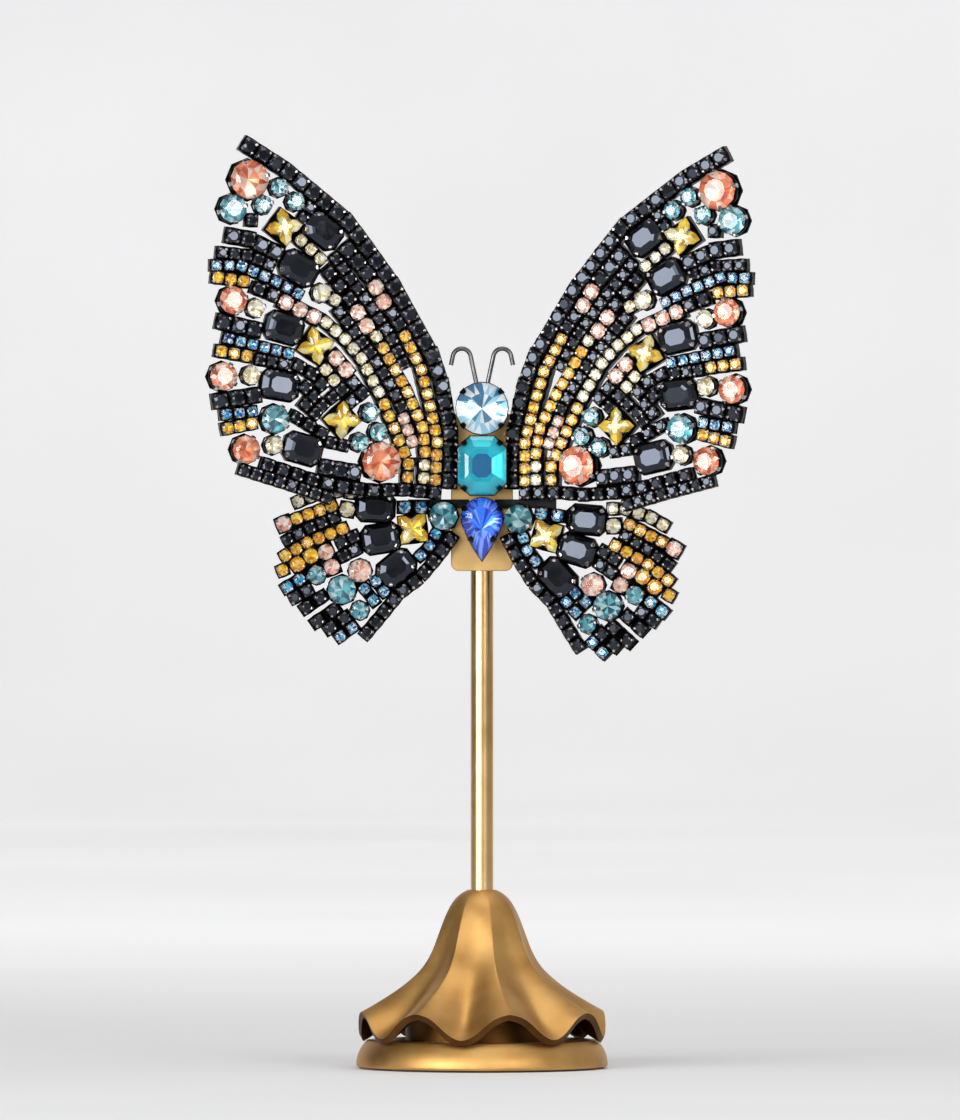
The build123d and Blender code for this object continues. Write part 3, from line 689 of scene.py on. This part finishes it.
def solder_sheet(wing, front):
    """The wing's own sheet of solder, sunk behind the stones, that closes the slits between cups; its front is
    the setting's black deepened as painted shade for the slits, its back tin.
    """
    name, solid = f"{wing}_solder", f"{wing}_setting"
    mesh = nodes[solid].data.copy()
    mesh.name = name
    depths = [vert.co.dot(front) for vert in mesh.vertices]
    middle = (min(depths) + max(depths)) / 2
    for vert, depth in zip(mesh.vertices, depths):
        if depth > middle:
            vert.co -= front * SOLDER_SINK * MM
        else:
            vert.co += front * SOLDER_LIFT * MM
    mesh.materials.clear()
    mesh.materials.append(SOLDER_PAINTED_SHADE)
    mesh.materials.append(TIN)
    for polygon in mesh.polygons:
        polygon.material_index = 1 if polygon.normal.dot(front) < -FACING else 0
    add_piece(name, mesh, solid)


for wing in ("forewing_left", "forewing_right", "hindwing_left", "hindwing_right"):
    cups = Shape()
    for colour, materials in STONE_LOOKS.items():
        node = f"{wing}_{colour}"
        if node not in nodes:
            continue
        stones = Shape()
        seats = read_seats(node)
        for seat in seats:
            if colour == "octagon":
                set_octagon(stones, cups, seat)
            elif colour == "star":
                set_star(stones, cups, seat)
            elif seat.sides == 4:
                set_chain_stone(stones, cups, seat, JET_TILT if colour == "jet" else STONE_TILT)
            else:
                set_round(stones, cups, seat)
        stones.piece(f"{node}_stones", materials, node)
    cups.piece(f"{wing}_cups", (GUNMETAL, CLAW, CUP_BACK), f"{wing}_setting")
    solder_sheet(wing, seats[0].front)


# Body: three large stones in collets with claws

# How far before its back a body stone's girdle lies, as a share of its depth
BODY_GIRDLE_SHARE = 0.34
BODY_CLAW_FOOT = -1.2
BODY_CLAW_SHOULDER = 0.35
BODY_CLAW_TIP = 0.95
BODY_CLAW_LEAN = 0.75
BODY_CLAW_WIDTH = 1.3

# A collet's sections from the back: shares of the outline with shares of its depth, then its rim with heights
COLLET_FLARE = ((0.70, 1.0), (0.72, 0.45), (1.0, 0.18))
COLLET_RIM = ((1.02, -0.15), (0.98, 0.0), (0.90, -0.3))

# Head: shares of the outline and heights at the breaks of glass and foil, and the heights of their points
HEAD_SIDES = 20
HEAD_BREAK = (0.60, 0.9)
HEAD_POINT = 1.5
HEAD_FOIL_BREAK = (0.56, -0.45)
HEAD_FOIL_POINT = -1.0
HEAD_CLAW_TURNS = (42, 138, 222, 318)

# Thorax: its cut corner, of half its width, and the foils of its two flights, round from the upper right corner,
# with the keel's last. Their bright foils are painted highlight, the keel's deep one painted shade
THORAX_CORNER = 0.50
THORAX_CROWN = 1.3
THORAX_DEPTH = 1.0
THORAX_UPPER_TONES = [MIDDLE, FOIL_PAINTED_HIGHLIGHT] + [MIDDLE] * 5 + [FOIL_PAINTED_HIGHLIGHT]
THORAX_LOWER_TONES = [MIDDLE] * 7 + [FOIL_PAINTED_HIGHLIGHT, FOIL_PAINTED_SHADE]

# Abdomen: as the head, with a table, and the foil's point drawn down by a share of the stone's reach.
# Its claws are shares of half its width, with turns.
ABDOMEN_BREAK = (0.80, 0.9)
ABDOMEN_TABLE = (0.48, 1.6)
ABDOMEN_FOIL_BREAK = (0.50, -0.6)
ABDOMEN_FOIL_POINT = -1.0
ABDOMEN_POINT_DROP = 0.25
ABDOMEN_CLAWS = ((1.0, 30), (1.0, 150), (1.15, -62), (1.15, 242))
# Its outline: where the round top starts and how far it goes round, the steps, and how full the sides are
PEAR_START = -14
PEAR_SWEEP = 208
PEAR_TOP_STEPS = 16
PEAR_SIDE_STEPS = 8
PEAR_BELLY = 0.35

BodySeat = namedtuple("BodySeat", "place half up down")


def pear_outline(half, tip):
    """A round top that draws down to a point."""
    turns = [radians(PEAR_START + PEAR_SWEEP * k / PEAR_TOP_STEPS) for k in range(PEAR_TOP_STEPS + 1)]
    top = [(half * cos(turn), half * sin(turn)) for turn in turns]
    left, low = top[-1]
    shares = [k / PEAR_SIDE_STEPS for k in range(1, PEAR_SIDE_STEPS)]
    side = [(left * (1 - share) * (1 + PEAR_BELLY * share), low - (tip + low) * share) for share in shares]
    return top + side + [(0, -tip)] + [(-x, y) for x, y in reversed(side)]


def body_seat(name):
    """Where a body stone's girdle lies, its half width, and how far it reaches up and down from there."""
    low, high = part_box(f"{name}_stone")
    rim_low, rim_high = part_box(f"{name}_setting")
    low.xz, high.xz = rim_low.xz, rim_high.xz
    half = (high.x - low.x) / 2 / MM
    centre_z = high.z - half * MM if name == "abdomen" else (low.z + high.z) / 2
    girdle_y = high.y - (high.y - low.y) * BODY_GIRDLE_SHARE
    return BodySeat(facing_front(girdle_y, centre_z), half, (high.z - centre_z) / MM, (centre_z - low.z) / MM)


def set_collet(name, place, outline, claws):
    """The setting behind a body stone: a narrow collet that opens to a rim, with prongs over the stone."""
    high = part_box(f"{name}_setting")[1]
    back = -(high.y - place.translation.y) / MM
    rings = [scaled(outline, share, back * depth) for share, depth in COLLET_FLARE]
    rings += [scaled(outline, share, height) for share, height in COLLET_RIM]
    setting = Shape()
    setting.add(place, *skin(rings))
    setting.add(place, rings[0], [closing_face(len(outline))])
    for reach, turn in claws:
        claw(setting, place, reach, turn, BODY_CLAW_FOOT, BODY_CLAW_SHOULDER, BODY_CLAW_TIP, BODY_CLAW_LEAN,
             BODY_CLAW_WIDTH, CUP_LOOK)
    setting.piece(f"{name}_collet", (GUNMETAL,), f"{name}_setting")


head = body_seat("head")
outline = round_outline(HEAD_SIDES, head.half)
crown = [scaled(outline, 1.0, 0.0), scaled(outline, *HEAD_BREAK)]
below = [scaled(outline, FOIL_EDGE_SHARE, 0.0), halfway(outline, *HEAD_FOIL_BREAK)]
rivoli = Shape()
rivoli.add(head.place, *pointed_skin(crown, False, (0, 0, HEAD_POINT)))
rivoli.add(head.place, *pointed_skin(below, True, (0, 0, HEAD_FOIL_POINT)), FOIL_LIGHT_AND_SHADE)
rivoli.piece("head_rivoli", STONE_LOOKS["head"], "head_stone")
set_collet("head", head.place, outline, [(head.half, radians(turn)) for turn in HEAD_CLAW_TURNS])

thorax = body_seat("thorax")
corner = thorax.half * THORAX_CORNER
outline = cut_outline(2 * thorax.half, 2 * thorax.up, corner)
step_cut = Shape()
cut_steps(step_cut, thorax.place, outline, 0.0, THORAX_CROWN, THORAX_DEPTH,
          THORAX_UPPER_TONES, THORAX_LOWER_TONES)
step_cut.piece("thorax_step_cut", STONE_LOOKS["thorax"], "thorax_stone")
along, across = thorax.half - corner / 2, thorax.up - corner / 2
reach = Vector((along, across)).length
set_collet("thorax", thorax.place, outline, [(reach, turn) for turn in corner_turns(atan2(across, along))])

abdomen = body_seat("abdomen")
outline = pear_outline(abdomen.half, abdomen.down)
crown = [scaled(outline, 1.0, 0.0), halfway(outline, *ABDOMEN_BREAK), scaled(stepped(outline), *ABDOMEN_TABLE)]
below = [scaled(outline, FOIL_EDGE_SHARE, 0.0), halfway(outline, *ABDOMEN_FOIL_BREAK)]
foil_point = (0, -abdomen.down * ABDOMEN_POINT_DROP, ABDOMEN_FOIL_POINT)
drop = Shape()
drop.add(abdomen.place, *skin(crown, crossed=True, capped=True))
drop.add(abdomen.place, *pointed_skin(below, True, foil_point), FOIL_LIGHT_AND_SHADE)
drop.piece("abdomen_drop", STONE_LOOKS["abdomen"], "abdomen_stone")
set_collet("abdomen", abdomen.place, outline,
           [(abdomen.half * share, radians(turn)) for share, turn in ABDOMEN_CLAWS])


# Stand

DISC_SIDES = 160
DISC_RADIUS = 24.7
DISC_STEP = 4.0
DISC_STEP_RADIUS = 15.0
DISC_BORE = 2.1
DISC_COUNTERBORE = 5.9
DISC_FOOT_INSET = 0.2
# The disc's rim: where it starts over the foot, and how far in it is half way up and at the top
DISC_RIM_START = 0.3
DISC_RIM_MIDDLE_INSET = 0.4
DISC_RIM_TOP_INSET = 2.1
DISC_RIM_STEPS = 24

# Level sections of the skirt: height as a share of its top, ridge of its radius, and flute of that ridge
SKIRT_SECTION_SHARES = (
    (1.000, 0.112, 1.00), (0.980, 0.172, 1.00), (0.943, 0.240, 0.99), (0.857, 0.311, 0.93),
    (0.743, 0.362, 0.90), (0.629, 0.427, 0.88), (0.557, 0.496, 0.86), (0.480, 0.620, 0.82),
    (0.386, 0.815, 0.78), (0.329, 0.988, 0.72), (0.262, 1.152, 0.70), (0.214, 1.305, 0.70),
    (0.174, 1.440, 0.70),
)
SKIRT_PETALS = 8
SKIRT_TURN = -99.5
SKIRT_WALL = 1.3
SKIRT_BORE = 2.05
SKIRT_COLUMNS = SKIRT_PETALS * 48
SKIRT_ROWS = 60
# Ridges are sharp at the top and soften down to this level; how soft they are at the top, from 0 to 1
SKIRT_SOFT_LEVEL = 9.5
SKIRT_SOFT_LEAST = 0.05
# Sections are eased over this many steps above and below, of a third of a level
SKIRT_EASE_STEPS = 3
# The hem lies below this level, this far inside the skirt's full radius
HEM_HIGHEST_LEVEL = 6.0
HEM_INSET = 0.05
HEM_HALVINGS = 24

ROD_SIDES = 96
TENON_RADIUS = 2.0
ROD_CHAMFER = 0.3
# The edge of the rod's flat, and the radius at which its top face ends
ROD_FLAT_EDGE = 0.01
ROD_CENTRE = 0.01

PLATE_CORNER = 1.5
PLATE_CORNER_STEPS = 8
PLATE_BACK_EDGE = 0.15
# The plate's front edge: how far in and how far behind its front each section lies
PLATE_FRONT_EDGE = ((0.0, 0.18), (0.05, 0.06), (0.18, 0.0))


def lathe(profile, sides):
    """Points and faces of a profile of radii and heights turned about the rod's axis."""
    return skin([scaled(round_outline(sides, radius), 1.0, height) for radius, height in profile])


def three_point_arc(start, middle, end, steps):
    """Points on the circle through three points."""
    (ax, ay), (bx, by), (cx, cy) = start, middle, end
    d = 2 * (ax * (by - cy) + bx * (cy - ay) + cx * (ay - by))
    a2, b2, c2 = ax * ax + ay * ay, bx * bx + by * by, cx * cx + cy * cy
    ox = (a2 * (by - cy) + b2 * (cy - ay) + c2 * (ay - by)) / d
    oy = (a2 * (cx - bx) + b2 * (ax - cx) + c2 * (bx - ax)) / d
    first, last = atan2(ay - oy, ax - ox), atan2(cy - oy, cx - ox)
    radius = Vector((ax - ox, ay - oy)).length
    turns = [first + (last - first) * k / steps for k in range(steps + 1)]
    return [(ox + radius * cos(turn), oy + radius * sin(turn)) for turn in turns]


disc_low, disc_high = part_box("base_disc")
disc_foot, step_top = disc_low.z / MM, disc_high.z / MM
disc_top = step_top - DISC_STEP
rim = three_point_arc(
    (DISC_RADIUS, disc_foot + DISC_RIM_START),
    (DISC_RADIUS - DISC_RIM_MIDDLE_INSET, (disc_foot + disc_top) / 2),
    (DISC_RADIUS - DISC_RIM_TOP_INSET, disc_top),
    DISC_RIM_STEPS,
)
profile = [(DISC_COUNTERBORE, disc_foot), (DISC_RADIUS - DISC_FOOT_INSET, disc_foot), *rim,
           (DISC_STEP_RADIUS, disc_top), (DISC_STEP_RADIUS, step_top), (DISC_BORE, step_top)]
points, faces = lathe(profile, DISC_SIDES)
# The step's wall and top lie in the skirt's shade
shaded = 2 * DISC_SIDES
disc = Shape()
disc.add(TO_METRES, points, faces, [0] * (len(faces) - shaded) + [1] * shaded, smooth=True)
disc.piece("base_disc_turned", (BRASS, BRASS_DARK), "base_disc")

skirt_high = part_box("petal_skirt")[1]
skirt_top, skirt_radius = skirt_high.z / MM, skirt_high.x / MM


def section_on_curve(level):
    """The skirt's height, ridge and flute between two of its sections, on a curve through all of them."""
    last = len(SKIRT_SECTION_SHARES) - 1
    if level > last:
        above, end = SKIRT_SECTION_SHARES[-2:]
        return [b + (b - a) * (level - last) for a, b in zip(above, end)]
    index = min(int(level), last - 1)
    t = level - index
    rows = [SKIRT_SECTION_SHARES[min(max(k, 0), last)] for k in range(index - 1, index + 3)]
    return [
        0.5 * (2 * b + (c - a) * t + (2 * a - 5 * b + 4 * c - d) * t * t + (3 * b - a - 3 * c + d) * t ** 3)
        for a, b, c, d in zip(*rows)
    ]


def section_at(level):
    """The same with its ripples eased, by an even mean of what lies a little above and below."""
    reach = min(level, 1.0) / SKIRT_EASE_STEPS
    near = [section_on_curve(level + reach * step) for step in range(-SKIRT_EASE_STEPS, SKIRT_EASE_STEPS + 1)]
    return [sum(values) / len(near) for values in zip(*near)]


def skirt_point(turn, level):
    """The radius and height of the skirt's outside at an angle round it, in radians, and a level down it."""
    height, ridge, flute = section_at(level)
    across = ((turn - radians(SKIRT_TURN)) / (tau / SKIRT_PETALS) + 0.5) % 1.0 * 2 - 1
    soft = SKIRT_SOFT_LEAST + (1 - SKIRT_SOFT_LEAST) * min(level / SKIRT_SOFT_LEVEL, 1.0) ** 3
    swell = (1 - soft) * across * across + soft * (1 - cos(pi * across)) / 2
    radius = skirt_radius * ridge * (flute + (1 - flute) * swell)
    return radius, height * skirt_top


def hem_level(turn):
    """How far down the skirt goes at an angle before it reaches its full radius."""
    low, high = HEM_HIGHEST_LEVEL, len(SKIRT_SECTION_SHARES) + 1.0
    for _ in range(HEM_HALVINGS):
        middle = (low + high) / 2
        if skirt_point(turn, middle)[0] < skirt_radius - HEM_INSET:
            low = middle
        else:
            high = middle
    return low


turns = [tau * column / SKIRT_COLUMNS for column in range(SKIRT_COLUMNS)]
hem_levels = [hem_level(turn) for turn in turns]
outside = []
for row in range(SKIRT_ROWS + 1):
    ring = []
    for turn, hem in zip(turns, hem_levels):
        radius, height = skirt_point(turn, hem * row / SKIRT_ROWS)
        ring.append(Vector((radius * cos(turn), radius * sin(turn), height)))
    outside.append(ring)
inside = []
for row in range(1, SKIRT_ROWS + 1):
    ring = []
    for column in range(SKIRT_COLUMNS):
        ahead, behind = outside[row][(column + 1) % SKIRT_COLUMNS], outside[row][column - 1]
        above, below = outside[row - 1][column], outside[min(row + 1, SKIRT_ROWS)][column]
        normal = (ahead - behind).cross(below - above).normalized()
        ring.append(outside[row][column] + normal * SKIRT_WALL)
    inside.append(ring)
bore = round_outline(SKIRT_COLUMNS, SKIRT_BORE)
bore_top, bore_low = scaled(bore, 1.0, skirt_top), scaled(bore, 1.0, skirt_top - SKIRT_WALL)
points, faces = skin([bore_top, *outside, *reversed(inside), bore_low, bore_top])
faces = [tuple(reversed(face)) for face in faces]
# The outside is bright, and the hem's end face and the inside are shaded
bright = (SKIRT_ROWS + 1) * SKIRT_COLUMNS
skirt = Shape()
skirt.add(TO_METRES, points, faces, [0] * bright + [1] * (len(faces) - bright), smooth=True)
skirt.piece("petal_skirt_cast", (BRASS, BRASS_DARK), "petal_skirt")

rod_low, rod_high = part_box("stem_rod")
plate_low, plate_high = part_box("back_plate")
rod_radius, rod_top = rod_high.y / MM, rod_high.z / MM
flat_y, flat_z = plate_high.y / MM, plate_low.z / MM
profile = [
    (TENON_RADIUS, rod_low.z / MM), (TENON_RADIUS, skirt_top), (rod_radius, skirt_top),
    (rod_radius, flat_z), (rod_radius, flat_z + ROD_FLAT_EDGE),
    (rod_radius, rod_top - ROD_CHAMFER), (rod_radius - ROD_CHAMFER, rod_top), (ROD_CENTRE, rod_top),
]
points, faces = lathe(profile, ROD_SIDES)
points = [(x, max(y, flat_y) if z > flat_z + ROD_FLAT_EDGE / 2 else y, z) for x, y, z in points]
rod = Shape()
rod.add(TO_METRES, points, faces, smooth=True)
rod.piece("stem_rod_turned", (BRASS_POLISHED,), "stem_rod")


def rounded_outline(half_x, half_z, radius):
    """A rectangle with rounded corners."""
    corners = ((1, 1, 0), (-1, 1, 90), (-1, -1, 180), (1, -1, 270))
    steps = [90 * k / PLATE_CORNER_STEPS for k in range(PLATE_CORNER_STEPS + 1)]
    return [(side_x * (half_x - radius) + radius * cos(radians(start + step)),
             side_z * (half_z - radius) + radius * sin(radians(start + step)))
            for side_x, side_z, start in corners for step in steps]


half_x, half_z = (plate_high.x - plate_low.x) / 2 / MM, (plate_high.z - plate_low.z) / 2 / MM
thickness = (plate_high.y - plate_low.y) / MM
edges = [(PLATE_BACK_EDGE, 0.0), (0.0, PLATE_BACK_EDGE)]
edges += [(inset, thickness - behind) for inset, behind in PLATE_FRONT_EDGE]
rings = [scaled(rounded_outline(half_x - inset, half_z - inset, PLATE_CORNER - inset), 1.0, height)
         for inset, height in edges]
points, faces = skin(rings, capped=True)
faces.append(closing_face(len(rings[0])))
plate = Shape()
plate.add(facing_front(plate_high.y, (plate_low.z + plate_high.z) / 2), points, faces)
plate.piece("back_plate_pressed", (BRASS_PLATE,), "back_plate")


# Antennae: hooked wires

ANTENNA_FOOT_PX = (479.5, 398)
ANTENNA_HOOK_START_PX = (470.5, 356)
ANTENNA_HOOK_END_PX = (453, 356)
ANTENNA_HOOK_STEPS = 24
ANTENNA_TAIL = 1.9
ANTENNA_WIRE = 0.9
WIRE_SIDES = 12


def from_px(place_px):
    """A place in the photograph as millimetres right of the rod and up from the table."""
    return Vector(((place_px[0] - AXIS_PX) * MM_PER_PX, (TABLE_PX - place_px[1]) * MM_PER_PX))


def tangent_arc(start, heading, end, steps):
    """Points on the arc that leaves start along a heading and ends at end, and its last heading."""
    side = Vector((-heading.y, heading.x))
    radius = (end - start).length_squared / (2 * (end - start).dot(side))
    centre = start + side * radius
    first, last = start - centre, end - centre
    swing = first.angle_signed(last)
    if swing * radius > 0:
        swing -= tau * (1 if radius > 0 else -1)
    points = [centre + Matrix.Rotation(-swing * k / steps, 2) @ first for k in range(1, steps + 1)]
    return points, Matrix.Rotation(-swing, 2) @ heading


def tube(path, radius):
    """A round wire along a path that stays in one upright plane."""
    section = round_outline(WIRE_SIDES, radius)
    rings = []
    for index, point in enumerate(path):
        heading = (path[min(index + 1, len(path) - 1)] - path[max(index - 1, 0)]).normalized()
        side = Vector((heading.y, -heading.x))
        rings.append([(point.x + side.x * across, point.y + side.y * across, out) for across, out in section])
    points, faces = skin(rings, capped=True)
    return points, faces + [closing_face(WIRE_SIDES)]


for word, side in (("left", 1), ("right", -1)):
    foot, start, end = (
        Vector((side * point.x, point.y))
        for point in map(from_px, (ANTENNA_FOOT_PX, ANTENNA_HOOK_START_PX, ANTENNA_HOOK_END_PX))
    )
    hook, heading = tangent_arc(start, (start - foot).normalized(), end, ANTENNA_HOOK_STEPS)
    path = [foot, start, *hook, end + heading * ANTENNA_TAIL]
    low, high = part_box(f"antenna_{word}")
    wire = Shape()
    wire.add(facing_front((low.y + high.y) / 2, 0), *tube(path, ANTENNA_WIRE / 2), smooth=True)
    wire.piece(f"antenna_{word}_wire", (WIRE,), f"antenna_{word}")


# Finishes of the solids that stay

for node, material in (
    ("felt_pad", FELT), ("spacer_sleeve", BRASS), ("stem_nut", STEEL), ("stem_washer", STEEL),
    ("forewing_carrier", BRASS_PLATE), ("hindwing_carrier", GUNMETAL),
):
    nodes[node].data.materials.clear()
    nodes[node].data.materials.append(material)


# Stage: a pale floor that sweeps up into a backdrop, soft boxes, the room's light and the camera

FLOOR_HALF_WIDTH = 3200.0
FLOOR_BACK = 2600.0
SWEEP_RADIUS = 600.0
SWEEP_STEPS = 12
BACKDROP_TOP = 2000.0
PAPER_LUMPS_PER_MM = 0.004
PAPER_ROUGHNESS = 0.7
# The paper's own glow: how far back it is full, and how strong it is there
GLOW_REACH = 1000.0
GLOW_STRENGTH = 0.50

LAMP_AIM_HEIGHT = 120.0
NEUTRAL = (1.0, 1.0, 1.0)
COOL = (0.98, 0.99, 1.0)
WARM = (1.0, 0.98, 0.97)

ROOM_STRENGTH = 0.66
# The direction in which the room is dim, and how bright it is there
DIM_SIDE = (-0.86, 0.50, 0.0)
DIM_SHARE = 0.16

CAMERA_DISTANCE = 2500.0
SENSOR = 36.0
CLIP_METRES = 100.0

sweep = [(-FLOOR_HALF_WIDTH, 0.0), (FLOOR_BACK, 0.0)]
for k in range(1, SWEEP_STEPS + 1):
    turn = pi / 2 * k / SWEEP_STEPS
    sweep.append((FLOOR_BACK + SWEEP_RADIUS * sin(turn), SWEEP_RADIUS - SWEEP_RADIUS * cos(turn)))
sweep.append((FLOOR_BACK + SWEEP_RADIUS, BACKDROP_TOP))
points = [(x * MM, y * MM, z * MM) for y, z in sweep for x in (-FLOOR_HALF_WIDTH, FLOOR_HALF_WIDTH)]
faces = [(2 * k, 2 * k + 1, 2 * k + 3, 2 * k + 2) for k in range(len(sweep) - 1)]
floor_mesh = bpy.data.meshes.new("floor")
floor_mesh.from_pydata(points, [], faces)
floor_mesh.polygons.foreach_set("use_smooth", [True] * len(faces))
floor = link("floor", floor_mesh)

paper, tree, shader = new_material("floor_paper")
tone = ramp(tree, noise(tree, PAPER_LUMPS_PER_MM), (0.30, srgb(226, 226, 227)), (0.70, srgb(232, 232, 233)))
tree.links.new(tone, shader.inputs["Base Color"])
shader.inputs["Roughness"].default_value = PAPER_ROUGHNESS
# Far from the ornament, where its lamps no longer reach, the paper shows as pale as it is nearby
spot = tree.nodes.new("ShaderNodeNewGeometry")
axes = tree.nodes.new("ShaderNodeSeparateXYZ")
tree.links.new(spot.outputs["Position"], axes.inputs["Vector"])
far = tree.nodes.new("ShaderNodeMapRange")
far.interpolation_type = "SMOOTHSTEP"
far.inputs["From Min"].default_value = 0.0
far.inputs["From Max"].default_value = GLOW_REACH * MM
far.inputs["To Max"].default_value = GLOW_STRENGTH
tree.links.new(axes.outputs["Y"], far.inputs["Value"])
rays = tree.nodes.new("ShaderNodeLightPath")
seen = rays.outputs["Is Camera Ray"]
for kind in ("Is Glossy Ray", "Is Transmission Ray"):
    either = tree.nodes.new("ShaderNodeMath")
    either.operation = "MAXIMUM"
    tree.links.new(seen, either.inputs[0])
    tree.links.new(rays.outputs[kind], either.inputs[1])
    seen = either.outputs["Value"]
glow = tree.nodes.new("ShaderNodeMath")
glow.operation = "MULTIPLY"
tree.links.new(seen, glow.inputs[0])
tree.links.new(far.outputs["Result"], glow.inputs[1])
tree.links.new(tone, shader.inputs["Emission Color"])
tree.links.new(glow.outputs["Value"], shader.inputs["Emission Strength"])
floor_mesh.materials.append(paper)
floor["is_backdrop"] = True


def soft_box(name, azimuth, elevation, distance, width, height, radiance, colour):
    """A lamp panel that faces the ornament from an angle round it and above it."""
    light = bpy.data.lights.new(name, "AREA")
    light.shape = "RECTANGLE"
    light.size, light.size_y = width * MM, height * MM
    light.energy = radiance * pi * light.size * light.size_y
    light.color = colour
    a, e = radians(azimuth), radians(elevation)
    away = Vector((sin(a) * cos(e), -cos(a) * cos(e), sin(e)))
    lamp = link(name, light)
    lamp.location = Vector((0, 0, LAMP_AIM_HEIGHT * MM)) + away * distance * MM
    lamp.rotation_mode = "QUATERNION"
    lamp.rotation_quaternion = away.to_track_quat("Z", "Y")


soft_box("box_left", -36.0, 5.0, 1300.0, 960.0, 520.0, 9.6, COOL)
soft_box("box_right", 29.0, 12.0, 1500.0, 420.0, 420.0, 11.0, WARM)
soft_box("strip_front", -5.0, 4.0, 2900.0, 260.0, 1900.0, 4.2, NEUTRAL)
soft_box("box_top", 10.0, 78.0, 1300.0, 900.0, 800.0, 2.6, NEUTRAL)

world = bpy.data.worlds.new("studio")
bpy.context.scene.world = world
world.use_nodes = True
tree = world.node_tree
background = tree.nodes["Background"]
way = tree.nodes.new("ShaderNodeTexCoord")
axes = tree.nodes.new("ShaderNodeSeparateXYZ")
tree.links.new(way.outputs["Generated"], axes.inputs["Vector"])
shade = ramp(tree, axes.outputs["Z"],
             (0.0, srgb(168, 168, 168)), (0.30, srgb(224, 224, 224)), (1.0, srgb(244, 244, 244)))
# The room is dim behind the ornament's left, which darkens one flank of each ridge and the rod's left edge
dim = tree.nodes.new("ShaderNodeVectorMath")
dim.operation = "DOT_PRODUCT"
dim.inputs[1].default_value = DIM_SIDE
tree.links.new(way.outputs["Generated"], dim.inputs[0])
room = ramp(tree, dim.outputs["Value"], (0.30, 1.0), (0.70, DIM_SHARE))
both = tree.nodes.new("ShaderNodeMix")
both.data_type, both.blend_type = "RGBA", "MULTIPLY"
both.inputs["Factor"].default_value = 1.0
tree.links.new(shade, both.inputs["A"])
tree.links.new(room, both.inputs["B"])
tree.links.new(both.outputs["Result"], background.inputs["Color"])
background.inputs["Strength"].default_value = ROOM_STRENGTH

camera_data = bpy.data.cameras.new("camera")
camera_data.sensor_width = SENSOR
camera_data.sensor_fit = "AUTO"
camera_data.lens = SENSOR * CAMERA_DISTANCE / (IMAGE_PX[1] * MM_PER_PX)
camera_data.clip_end = CLIP_METRES
camera = link("camera", camera_data)
middle_x = (IMAGE_PX[0] / 2 - AXIS_PX) * MM_PER_PX
middle_z = (TABLE_PX - IMAGE_PX[1] / 2) * MM_PER_PX
camera.location = (middle_x * MM, -CAMERA_DISTANCE * MM, middle_z * MM)
camera.rotation_euler = (pi / 2, 0, 0)
bpy.context.scene.camera = camera
bpy.context.scene.view_settings.view_transform = "Standard"

low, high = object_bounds()
